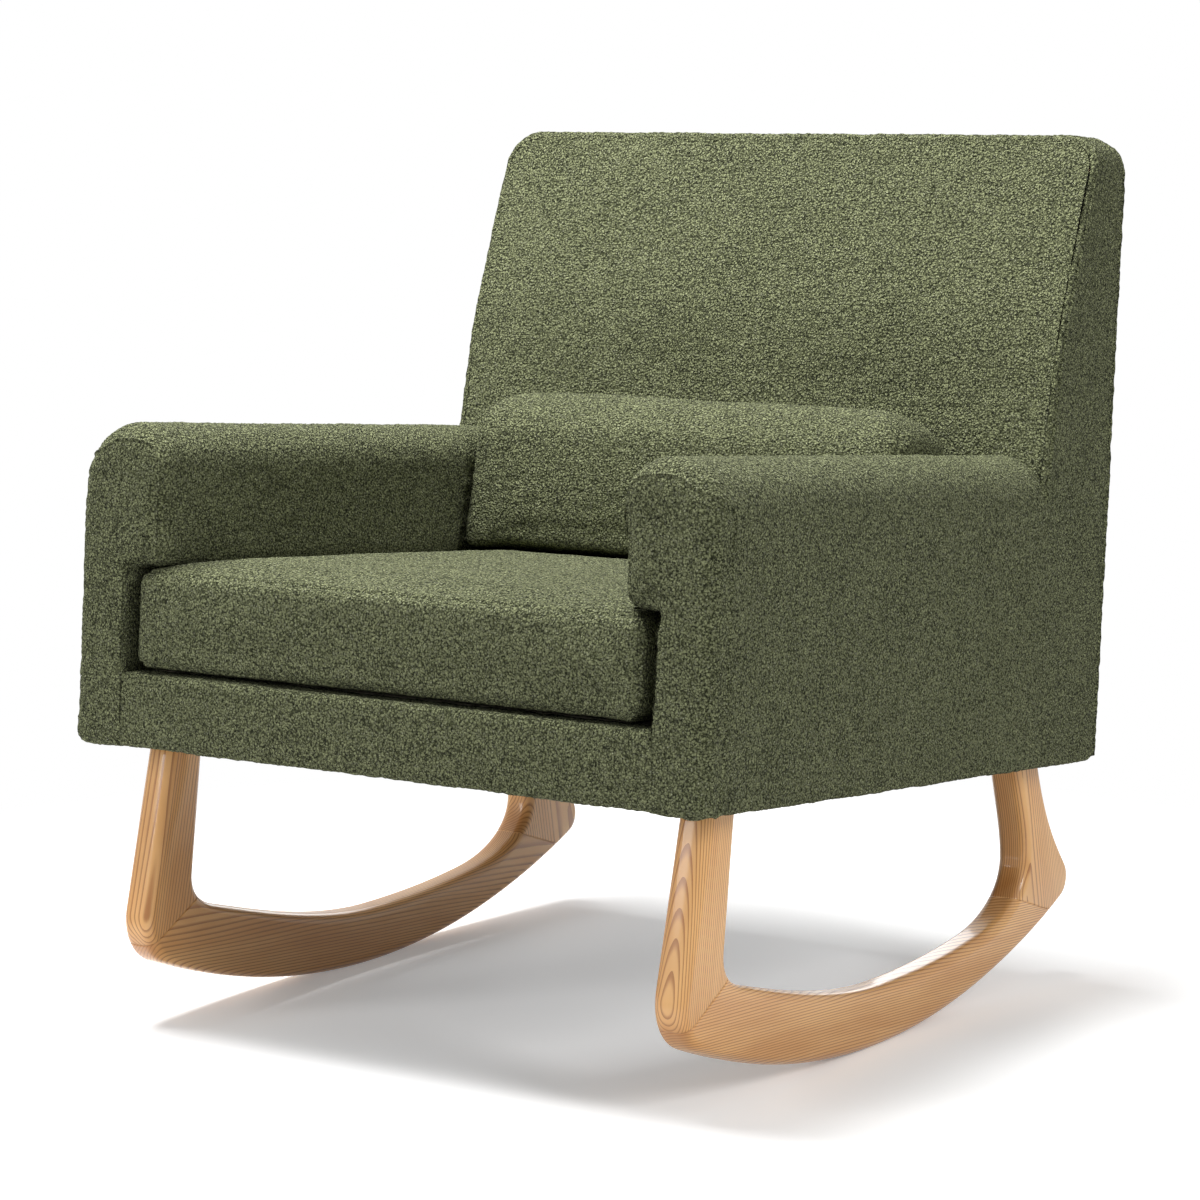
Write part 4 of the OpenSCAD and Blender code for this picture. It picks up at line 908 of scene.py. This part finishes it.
rear_bow = 1.5
x, z = back_panel(8, 0)
bow = rear_bow * (1 - (x / half_w) ** 2) * np.sin(np.pi * np.clip(z / back_h, 0, 1))
rear_face = rear_corners(np.stack([x, np.full(x.shape, body_d), z], -1)) + np.stack([0 * x, bow, 0 * x], -1)
rear_bands, rear_band_push = [], []
for step in list(np.linspace(body_d - side_end, 3.6, 6)) + [2.6, 1.5, 0.7, 0]:
    y = side_end + step
    x, z = back_border(rear_inset(y), 0, closed=True)
    rear_bands.append(np.stack([x, np.full(len(x), y), z], -1))
    rear_band_push.append(seam_push(np.full(len(x), float(step)), rear_stitch))
outside_back = cover_of("outside_back_cloth", [(rear_face[:, ::-1], np.zeros(rear_face.shape[:2]), False),
    (rear_corners(np.array(rear_bands)), np.array(rear_band_push), True)], 1)
dress(outside_back, "chair", "cover_fabric", "outside_back_panel")

# ---- Front rail ----
# The rail between the arms is wrapped in wadding and the same cloth, stapled under its edge.

rail_cover_y, rail_cover_end, rail_cover_top, rail_edge = 0.8, 42.3, 76.0, 7.0
rail_half, rail_swell = wall_x + 1.2, 0.9
rail_line = np.vstack([[[rail_cover_end - 1.3, 0], [rail_cover_y + rail_edge, 0]],
    arc((rail_cover_y + rail_edge, rail_edge), rail_edge, 270, 180),
    arc((rail_cover_y + rail_edge, rail_cover_top - rail_edge), rail_edge, 180, 90),
    [[rail_cover_end, rail_cover_top]]])
rail_points = evenly(rail_line, 2.6)[0]
inner_side = np.array([[rail_cover_end, 72.5], [17, 72.5], [17, 3.7], [rail_cover_end - 1.3, 3.7]])
rail_loop = np.vstack([rail_points, inner_side])
rail_stations = np.r_[-rail_half + np.array([0, 0.7, 1.6, 3.0, 5.0]),
    np.linspace(-rail_half + 8, rail_half - 8, 210), rail_half - np.array([5.0, 3.0, 1.6, 0.7, 0])]
rail_rows, rail_push = [], []
for x in rail_stations:
    rail_rows.append(np.stack([np.full(len(rail_loop), x), rail_loop[:, 0], rail_loop[:, 1]], -1))
    full = np.sin(np.pi * np.clip(rail_loop[:, 1] / rail_cover_top, 0, 1)) * (rail_loop[:, 0] < 14)
    full = rail_swell * full * (1 - (x / rail_half) ** 8)
    rail_push.append(seam_push(rail_half - abs(x), 0.4, 0.1) + full)
rail_patch = (np.array(rail_rows), np.array(rail_push), True)
rail_cloth = cover_of("front_rail_cloth", [rail_patch], 1, turned=True)
dress(rail_cloth, "chair", "cover_fabric", "front_rail_cover", fill=0.9)

# ---- Seat deck ----
# A thin foam pad under pale deck cloth lies over the springs and carries the seat cushion.

deck_x, deck_front, deck_rear, deck_low, deck_high = 321.0, 42.6, 628.0, 64.3, 76.0
deck_edge, deck_crown = 5.0, 1.2
deck_pale, deck_shade = (0.44, 0.40, 0.30), (0.30, 0.27, 0.20)

weave, given, end = node_group("plain_weave", {"Pale": deck_pale, "Shade": deck_shade, "Threads": 900.0})
warp, weft = [place(weave, "TexWave", {"bands_direction": way}, Vector=given["Vector"],
    Scale=given["Threads"], Distortion=0.6, Detail=1.0).outputs["Fac"] for way in "XY"]
slub = clouds(weave, given["Vector"], 60.0, 3.0)
crossing = math_of(weave, "MULTIPLY", warp, weft)
cloth_tone = weighted(weave, (crossing, 0.5), (slub, 1.0))
woven = colour_mix(weave, between(weave, cloth_tone, 0.3, 1.0), given["Shade"], given["Pale"])
give_out(weave, end, woven, crossing, slub)
deck_cloth = finish_of("deck_cloth", weave, {}, (0.8, 0.95), (0.3, 0.0003))


def rim_lines(low, high, pitch=6.0):
    """Grid lines from low to high, close together near both ends."""
    n = max(8, int((high - low) / pitch))
    near = np.array([0, 0.15, 0.5, 1.1])
    return mix(low, high, np.concatenate([near, np.linspace(2.2, n - 2.2, n), n - near[::-1]]) / n)


x, y = np.meshgrid(rim_lines(-deck_x, deck_x), rim_lines(deck_front, deck_rear), indexing="ij")
rim = np.minimum(deck_x - np.abs(x), np.minimum(y - deck_front, deck_rear - y))
drop = deck_edge * (1 - np.sqrt(1 - (1 - np.clip(rim / deck_edge, 0, 1)) ** 2))
top = deck_high - drop + deck_crown * (1 - np.exp(-rim / 60))
bottom = np.minimum(deck_low + drop, top - 0.01)
deck_points = in_body(np.stack([np.stack([x, y, top], -1), np.stack([x, y, bottom], -1)]).reshape(-1, 3))
deck_faces = [face[::-1] for face in grid_faces(*x.shape)] + grid_faces(*x.shape, start=x.size)
deck = made_piece("deck_cloth_pad", deck_points, deck_faces, deck_cloth)
with opened(deck.data) as shape:
    bmesh.ops.remove_doubles(shape, verts=shape.verts, dist=0.0006)
    bmesh.ops.recalc_face_normals(shape, faces=shape.faces)
dress(deck, "chair", "foam", "deck_pad", fill=0.9)

# ---- Dust cover ----
# Black non-woven cloth is stretched under the seat and stapled to the rails, with holes for the
# bolts of the leg plates.

lining_black, lining_grey = (0.012, 0.012, 0.013), (0.05, 0.05, 0.052)
black_lining = finish_of("black_lining", pressed, {"Pale": lining_grey, "Dark": lining_black}, (0.75, 0.95),
    (0.3, 0.0003))
finish_nodes(black_lining, "back_webbing")

lining_x, lining_front, lining_rear, lining_low, lining_t = 350.0, 41.5, 783.5, 2.9, 0.7
lining_sag, plate_reach, hole_half = 3.0, 255.0, 4.6
staple_pitch, staple_in, staple_w, staple_t = 52.0, 9.0, 11.0, 0.6
bolt_holes = [(side * x, y) for side in (-1, 1) for x in (272.0, 296.0) for y in (97.3, 705.8)]


def block(low, high, bevel=0.0):
    """Corner points and faces of a block with chamfered upright edges."""
    x0, y0, z0 = low
    x1, y1, z1 = high
    b = bevel
    plan = [(x0 + b, z0), (x1 - b, z0), (x1, z0 + b), (x1, z1 - b),
        (x1 - b, z1), (x0 + b, z1), (x0, z1 - b), (x0, z0 + b)]
    points = [(x, y0, z) for x, z in plan] + [(x, y1 - b, z) for x, z in plan]
    mid = ((x0 + x1) / 2, (z0 + z1) / 2)
    points += [(mix(mid[0], x, 0.8), y1, mix(mid[1], z, 0.8)) for x, z in plan]
    faces = [[k, (k + 1) % 8, 8 + (k + 1) % 8, 8 + k] for k in range(8)]
    faces += [[8 + k, 8 + (k + 1) % 8, 16 + (k + 1) % 8, 16 + k] for k in range(8)]
    faces += [list(range(8))[::-1], list(range(16, 24))]
    return points, faces


def gathered(parts):
    """Points and faces of several blocks as one."""
    points, faces = [], []
    for part_points, part_faces in parts:
        faces += [[len(points) + k for k in face] for face in part_faces]
        points += part_points
    return np.array(points, float), faces


def lining_lines(low, high, holes, pitch=9.0):
    """Grid lines from low to high, close on each side of a hole's middle."""
    marks = sorted([low, high] + [h + d for h in holes for d in (-hole_half, hole_half)])
    lines = [np.linspace(a, b, max(1, round((b - a) / pitch)) + 1)[:-1] for a, b in zip(marks, marks[1:])]
    return np.r_[np.concatenate(lines), high]


lining_grid = np.stack(np.meshgrid(lining_lines(-lining_x, lining_x, sorted({x for x, y in bolt_holes})),
    lining_lines(lining_front, lining_rear, sorted({y for x, y in bolt_holes})), indexing="ij"), -1)
rows, columns = lining_grid.shape[:2]
x, y = lining_grid.reshape(-1, 2).T
hang = np.clip(1 - (x / plate_reach) ** 2, 0, 1)
hang *= np.sin(np.pi * (y - lining_front) / (lining_rear - lining_front))
edge_x, edge_y = lining_x - np.abs(x), np.minimum(y - lining_front, lining_rear - y)
near_edge = np.minimum(edge_x, edge_y)
pucker = np.where(edge_x < edge_y, y, x) / staple_pitch * 2 * np.pi
z = lining_low - lining_sag * hang - 0.5 * np.exp(-near_edge / 16) * (1 - np.cos(pucker)) / 2
faces = [face for face in grid_faces(rows, columns)
    if not any(np.hypot(x[face].mean() - hole[0], y[face].mean() - hole[1]) < 2 for hole in bolt_holes)]
lining = made_piece("dust_cover_sheet", in_body(np.stack([x, y, z], -1)), faces, black_lining)
with opened(lining.data) as shape:
    bmesh.ops.solidify(shape, geom=shape.faces[:], thickness=-lining_t / 1000)
    bmesh.ops.recalc_face_normals(shape, faces=shape.faces)
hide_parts("dust_cover")
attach(lining, "chair")

staples = []
for k in range(1, int(2 * lining_x / staple_pitch)):
    for y_at in (lining_front + staple_in, lining_rear - staple_in):
        x_at = -lining_x + k * staple_pitch
        staples.append(((x_at - staple_w / 2, y_at - staple_t), (x_at + staple_w / 2, y_at + staple_t)))
for k in range(1, int((lining_rear - lining_front) / staple_pitch)):
    for x_at in (staple_in - lining_x, lining_x - staple_in):
        y_at = lining_front + k * staple_pitch
        staples.append(((x_at - staple_t, y_at - staple_w / 2), (x_at + staple_t, y_at + staple_w / 2)))
points, faces = gathered([block((low[0], 0, low[1]), (high[0], staple_t, high[1]), 0.2)
    for low, high in staples])
points = np.stack([points[:, 0], points[:, 2], lining_low - 0.1 - points[:, 1]], -1)
staple_piece = made_piece("lining_staples", in_body(points), [face[::-1] for face in faces], zinc)
dress(staple_piece, "chair", "steel")

# ---- Seat cushion ----
# A loose box cushion with a full top. Its cloth is cut as two panels and a band round the edge,
# sewn together along the edges, and the filling pulls the sides in a little between the corners.

cushion_x, cushion_front, cushion_rear = 312.0, 1.0, 605.98
cushion_middle, cushion_half = (cushion_front + cushion_rear) / 2, (cushion_rear - cushion_front) / 2
cushion_low, cushion_high, cushion_crown = 78.3, 183.4, 15.6
cushion_corner, cushion_draw, cushion_rim = 18.0, 4.0, 17.0
cushion_foot, cushion_shrink, cushion_cap = 9.0, 3.5, 5.0
under_inset, under_dish, crown_reach = 60.0, 0.4, 233.0
corner_low, corner_high, left_side_end, right_side_end = 30.0, 26.0, 313.0, 307.0
under_pillow_y, deck_clear = 440.0, 77.6
cushion_voxel, swell_share, blown_share, blown_frames = 0.0052, 0.75, 0.5, 20


def cushion_wall(x, y):
    """How far inside the cushion's outline a point of its plan is."""
    bow_x = cushion_draw * np.sin(np.pi * np.clip((y - cushion_front) / (2 * cushion_half), 0, 1))
    bow_y = cushion_draw * np.sin(np.pi * np.clip((x + cushion_x) / (2 * cushion_x), 0, 1))
    qx = np.abs(x) - (cushion_x - bow_x - cushion_corner)
    qy = np.abs(y - cushion_middle) - (
        cushion_half - np.where(y < cushion_middle, bow_y, 0) - cushion_corner)
    outside = np.hypot(np.clip(qx, 0, None), np.clip(qy, 0, None))
    return cushion_corner - outside - np.minimum(np.maximum(qx, qy), 0)


def cushion_top(x, y):
    """Height of the crowned top over a point of the cushion's plan."""
    share = np.clip((cushion_wall(x, y) - 20) / 230, 0, 1)
    return cushion_high + cushion_crown * (1 - (1 - share) ** 4)


def filled(name, rings, voxel, cap, tension, pressure=4.0):
    """Remeshes a closed form, blows it up as cloth and gives it as it was and as it is, in mm.

    Blown up, cloth draws its ends in, so it is eased out again to the size that it was cut to."""
    faces = tube_faces(len(rings), len(rings[0]))
    form = made_piece(name, np.vstack(rings) / 1000, faces, cover_cloth)
    with opened(form.data) as shape:
        bmesh.ops.recalc_face_normals(shape, faces=shape.faces)
    bpy.context.view_layer.objects.active = form
    remesh = form.modifiers.new("remesh", "REMESH")
    remesh.mode, remesh.voxel_size = "VOXEL", voxel
    bpy.ops.object.modifier_apply(modifier=remesh.name)
    before, out = points_of(form.data)
    after = before.flatten()
    cloth = form.modifiers.new("cloth", "CLOTH")
    settings = cloth.settings
    settings.quality, settings.mass, settings.bending_stiffness = 4, 0.25, 0.6
    settings.tension_stiffness = settings.compression_stiffness = settings.shear_stiffness = tension
    settings.use_pressure, settings.uniform_pressure_force = True, pressure
    settings.effector_weights.gravity = 0
    cloth.point_cache.frame_start, cloth.point_cache.frame_end = 1, blown_frames
    for step in range(1, blown_frames + 1):
        bpy.context.scene.frame_set(step)
    shown = form.evaluated_get(bpy.context.evaluated_depsgraph_get())
    shown.data.vertices.foreach_get("co", after)
    form.modifiers.remove(cloth)
    bpy.context.scene.frame_set(1)
    move = (after.reshape(-1, 3) - before) * 1000
    reach = np.linalg.norm(move, axis=1)[:, None]
    move *= np.tanh(reach / cap) * cap / np.maximum(reach, 1e-9)
    swell = out * cap * swell_share
    cut_to = before * 1000 + swell
    moved = before * 1000 + mix(swell, move, blown_share)
    moved = mix(cut_to.min(0), cut_to.max(0), (moved - moved.min(0)) / np.ptp(moved, axis=0))
    both = []
    for state in (before * 1000, moved):
        move_points(form.data, state / 1000)
        finer = form.modifiers.new("finer", "SUBSURF")
        finer.levels = finer.render_levels = 1
        shown = form.evaluated_get(bpy.context.evaluated_depsgraph_get())
        both.append(points_of(shown.data)[0] * 1000)
        if state is moved:
            mesh = bpy.data.meshes.new_from_object(shown)
        form.modifiers.remove(finer)
    form.data = mesh
    mesh.polygons.foreach_set("use_smooth", [True] * len(mesh.polygons))
    return form, both[0], both[1]


def cushion_ring(inset, z):
    """Rounded rectangle at height z, drawn in by inset, with its front and sides bowed in."""
    corner_r = max(cushion_corner - inset, 4) if inset < 40 else 20
    corners = [np.array([sx * (cushion_x - inset - corner_r), cushion_middle
        + sy * (cushion_half - inset - corner_r)]) for sx, sy in ((1, 1), (-1, 1), (-1, -1), (1, -1))]
    ring = []
    for c, centre in enumerate(corners):
        for a in np.radians(np.linspace(90 * c, 90 * c + 90, 7)):
            out = np.array([math.cos(a), math.sin(a)])
            ring.append(centre + corner_r * out)
        start, end = ring[-1], corners[(c + 1) % 4] + corner_r * out
        for t in np.linspace(0, 1, 24)[1:-1]:
            bow = 0 if c == 0 else cushion_draw * math.sin(math.pi * t)
            ring.append(mix(start, end, t) - bow * out)
    return np.array([[*p, z] for p in ring])


s = cushion_shrink
cushion_rings = [cushion_ring(under_inset + s, cushion_low + s),
    cushion_ring(cushion_foot + s, cushion_low + s + under_dish)]
for a in np.radians([22, 45, 67, 90]):
    cushion_rings.append(cushion_ring(cushion_foot * (1 - math.sin(a)) + s,
        cushion_low + s + under_dish + cushion_foot * (1 - math.cos(a))))
for z in np.linspace(cushion_low + s + 22, cushion_high - cushion_rim - 4, 8):
    cushion_rings.append(cushion_ring(s, z))
for a in np.radians(np.linspace(0, 90, 9)):
    cushion_rings.append(cushion_ring(cushion_rim * (1 - math.cos(a)) + s,
        cushion_high - s - cushion_rim * (1 - math.sin(a))))
for share in np.linspace(0, 1, 12)[1:] ** 1.6:
    cushion_rings.append(cushion_ring(cushion_rim + s + crown_reach * share,
        cushion_high - s + cushion_crown * (1 - (1 - share) ** 4)))
cushion, rest, full = filled("seat_cushion_cloth", cushion_rings, cushion_voxel, cushion_cap, 14.0)

wall = cushion_wall(rest[:, 0], rest[:, 1]) - s
across, up = cushion_rim - wall, rest[:, 2] - (cushion_high - s - cushion_rim)
low_in, low_up = cushion_foot - wall, (cushion_low + s + cushion_foot) - rest[:, 2]


def from_edge_seam(inwards, beyond, radius, turn):
    """Distance from a seam that runs round an edge of that radius, at an angle of turn on it."""
    angle = np.arctan2(np.maximum(beyond, 0), np.maximum(inwards, 0.01)) - math.radians(turn)
    return np.where((inwards > -4) & (beyond > -25), radius * angle + np.minimum(beyond, 0), 60)


push = seam_push(from_edge_seam(across, up, cushion_rim, 55), 1.8, 0.9)
push = push + seam_push(from_edge_seam(low_in, low_up, cushion_foot, 45), 1.8, 0.9)

# The cushion keeps under the arms' pads and the pillow, above the deck and inside the arms' corners
x, y, z = full.T.copy()
lip_out = np.clip(np.abs(x) - pad_x, 0, lip_round)
lip_low = pad_bottom + lip_round - np.sqrt(lip_round**2 - (lip_round - lip_out) ** 2)
z = np.minimum(z, np.where(np.abs(x) > pad_x, lip_low, 999) - 1.6)
z = np.where(y > under_pillow_y, np.minimum(z, cushion_top(x, y) - 0.6), z)
z = np.maximum(z, deck_clear)
near_front = np.clip((110 - y) / 60, 0, 1)
low_share = np.clip(1 - (z - deck_clear) / corner_low, 0, 1)
high_share = np.clip((z - cushion_high + corner_high) / corner_high, 0, 1)
low_in = corner_low * (1 - np.sqrt(1 - low_share**2))
high_in = corner_high * (1 - np.sqrt(1 - high_share**2)) * (z > 130)
side_end_x = np.where(x > 0, right_side_end, left_side_end) - low_in - high_in
x = np.sign(x) * np.minimum(np.abs(x), mix(wall_x - 3, side_end_x, near_front))
zip_z, zip_reach = 125.0, 262.0


def beside_zip(x, z, reach):
    """1 where the cloth lies flat under a zip's tape, eased off to 0 round it."""
    return np.clip((26 - np.abs(z)) / 12, 0, 1) * np.clip((reach + 24 - np.abs(x)) / 12, 0, 1)


flat = beside_zip(x, z - zip_z, zip_reach) * (y > 560)
y = np.where(flat > 0, mix(y, cushion_rear - 0.6, flat), np.minimum(y, cushion_rear))
move_points(cushion.data, in_body(np.stack([x, y, z], -1)))
raise_nap(cushion, push * (1 - flat))
dress(cushion, "seat_cushion", "cover_fabric", "seat_cushion", fill=0.8)

# ---- Lumbar pillow ----
# A soft bolster-like pillow that stands on the cushion and leans on the back, with rounded edges
# and ends.

pillow_half, pillow_h, pillow_t = 275.5, 174.0, 120.0
pillow_lean, pillow_y, pillow_z = math.radians(9), 569.0, 283.0
pillow_rounds = (35.0, 40.0, 62.0, 9.0)
pillow_shoulder, pillow_straight, pillow_clear = 46.0, 190.0, 2.6
pillow_shrink, pillow_cap, pillow_voxel = 4.0, 6.0, 0.0046


def pillow_ring(x, inset):
    """The pillow's section at x, drawn in by inset."""
    ring = []
    y, z = pillow_t / 2 - inset, pillow_h / 2 - inset
    for c, (sy, sz) in enumerate(((1, -1), (1, 1), (-1, 1), (-1, -1))):
        r = max(pillow_rounds[c] - inset, 3)
        for a in np.radians(np.linspace(90 * c - 90, 90 * c, 14)):
            ring.append([x, sy * (y - r) + r * math.cos(a), sz * (z - r) + r * math.sin(a)])
    return np.array(ring)


def in_pillow(points):
    """Points of the leaning pillow's own frame as points of the body."""
    c, s = math.cos(pillow_lean), math.sin(pillow_lean)
    p = np.asarray(points)
    return np.stack([p[..., 0], pillow_y + p[..., 1] * c + p[..., 2] * s,
        pillow_z - p[..., 1] * s + p[..., 2] * c], -1)


end_round = 17.0
pillow_rings = []
for a in np.radians(np.linspace(0, 90, 8)):
    pillow_rings.append(pillow_ring(-pillow_half + pillow_shrink + end_round * (1 - math.sin(a)),
        pillow_shrink + end_round * (1 - math.cos(a))))
pillow_rings = pillow_rings[::-1]
for x in np.linspace(-pillow_half + pillow_shrink + end_round, 0, 40)[1:]:
    pillow_rings.append(pillow_ring(x, pillow_shrink - 1.5 * (1 - (x / pillow_half) ** 2)))
pillow_rings += [ring * [-1, 1, 1] for ring in pillow_rings[-2::-1]]
pillow, rest, full = filled("lumbar_pillow_cloth", pillow_rings, pillow_voxel, pillow_cap, 8.0)

# Its ends keep inside its length, its shoulders draw in, and its foot sinks onto the cushion's crown
x, y, z = full.T.copy()
x = np.clip(x, -pillow_half + 1.0, pillow_half - 1.0)
above = np.clip((z - pillow_h / 2 + pillow_shoulder) / pillow_shoulder, 0, 1)
end_at = pillow_half - 1 - pillow_shoulder * (1 - np.sqrt(1 - above**2))
x = np.where(np.abs(x) > pillow_straight, np.sign(x) * (pillow_straight
    + (np.abs(x) - pillow_straight) * (end_at - pillow_straight) / (pillow_half - 1 - pillow_straight)), x)
z = np.maximum(z, -pillow_h / 2 + 0.9)
tape_z, tape_reach = -40.0, 200.0
y = np.minimum(y, pillow_t / 2 + 1.0)
flat = beside_zip(x, z - tape_z, tape_reach) * (y > 20)
y = mix(y, pillow_t / 2 + 1.4, flat)
from_middle = np.abs(rest[:, 0])
end_seam = np.where(from_middle > pillow_half - 60, from_middle - (pillow_half - pillow_shrink - 5), -60)
in_place = in_pillow(np.stack([x, y, z], -1))
foot = in_pillow(np.stack([x, y, np.full(len(x), -pillow_h / 2 + 0.9)], -1))
hangs = np.clip(foot[:, 2] - cushion_top(foot[:, 0], foot[:, 1]) - pillow_clear, 0, 14)
in_place[:, 2] -= hangs * np.clip(-z / (pillow_h / 2), 0, 1) ** 1.5
move_points(pillow.data, in_body(in_place))
raise_nap(pillow, seam_push(end_seam, 1.2, 0.5) * (1 - flat))
dress(pillow, "lumbar_pillow", "cover_fabric", "lumbar_pillow", fill=0.7)

# ---- Zips ----
# A moulded zip on a woven tape closes each cushion's cover at the rear, with a black slider.

zip_dark, zip_worn = (0.016, 0.017, 0.016), (0.045, 0.047, 0.045)
zip_tape = finish_of("zip_tape", weave, {"Pale": zip_worn, "Shade": zip_dark, "Threads": 1100.0},
    (0.7, 0.9), (0.4, 0.0003))
zip_plastic = finish_of("zip_teeth", plating, {"Bright": zip_worn, "Dull": zip_dark, "Scale": 300.0},
    (0.35, 0.5), (0.1, 0.0002))
slider_black = finish_of("slider_enamel", plating, {"Bright": (0.03, 0.03, 0.031),
    "Dull": (0.015, 0.015, 0.016), "Scale": 200.0}, (0.25, 0.45), (0.15, 0.0002), Metallic=0.4)
tape_half, tape_from, tape_t = 12.0, 0.3, 1.0
tooth_pitch, tooth_w, chain_half, chain_t = 2.0, 1.3, 3.0, 1.6
chain_low = tape_from + tape_t
seat_zip_length, pillow_zip_length = 524.0, 400.0


def zip_piece(name, to_row, length, body, node):
    """A closed zip: its tape, and a chain of teeth that come from both sides in turn."""
    half = length / 2
    points, faces = block((-half, tape_from, -tape_half), (half, chain_low, tape_half), 0.3)
    tape = made_piece(f"{name}_tape", to_row(points), faces, zip_tape)
    dress(tape, body, "zip_tape", node)
    teeth = []
    for k, x in enumerate(np.arange(-half + 5, half - 5, tooth_pitch)):
        side = 1 if k % 2 else -1
        low, high = sorted((side * chain_half, -side * chain_half * 0.45))
        teeth.append(block((x - tooth_w / 2, chain_low, low),
            (x + tooth_w / 2, chain_low + chain_t, high), 0.25))
    points, faces = gathered(teeth)
    dress(made_piece(f"{name}_teeth", to_row(points), faces, zip_plastic), body, "zip_tape")


def slider_piece(name, to_row, length, body, node):
    """Slider over the chain at its closed end, with its bridge and a pull tab that hangs down."""
    x = length / 2 - 18
    top = chain_low + chain_t + 0.3
    plate = block((x, top, -6), (x + 12, top + 1.6, 6), 1.6)
    flanges = [block((x, 1.9, -6), (x + 12, top, -3.6), 0.4), block((x, 1.9, 3.6), (x + 12, top, 6), 0.4)]
    bridge = block((x + 3, top + 1.6, -0.9), (x + 9, top + 2.6, 0.9), 0.4)
    tab = block((x + 4, top + 1.3, -24), (x + 8, top + 2.3, -0.5), 0.8)
    points, faces = gathered([plate, *flanges, bridge, tab])
    made = made_piece(name, to_row(points), faces, slider_black)
    made.data.polygons.foreach_set("use_smooth", [False] * len(made.data.polygons))
    dress(made, body, "zip_metal", node)


def on_cushion(points):
    return in_body(np.asarray(points) + [0, cushion_rear, zip_z])


def on_pillow(points):
    return in_body(in_pillow(np.asarray(points) + [0, pillow_t / 2 + 2, tape_z]))


zip_piece("seat_zip", on_cushion, seat_zip_length, "seat_cushion", "seat_zip")
slider_piece("seat_zip_pull", on_cushion, seat_zip_length, "seat_zip_slider", "seat_zip_slider")
zip_piece("pillow_zip", on_pillow, pillow_zip_length, "lumbar_pillow", "pillow_zip")
slider_piece("pillow_zip_pull", on_pillow, pillow_zip_length, "pillow_zip_slider", "pillow_zip_slider")
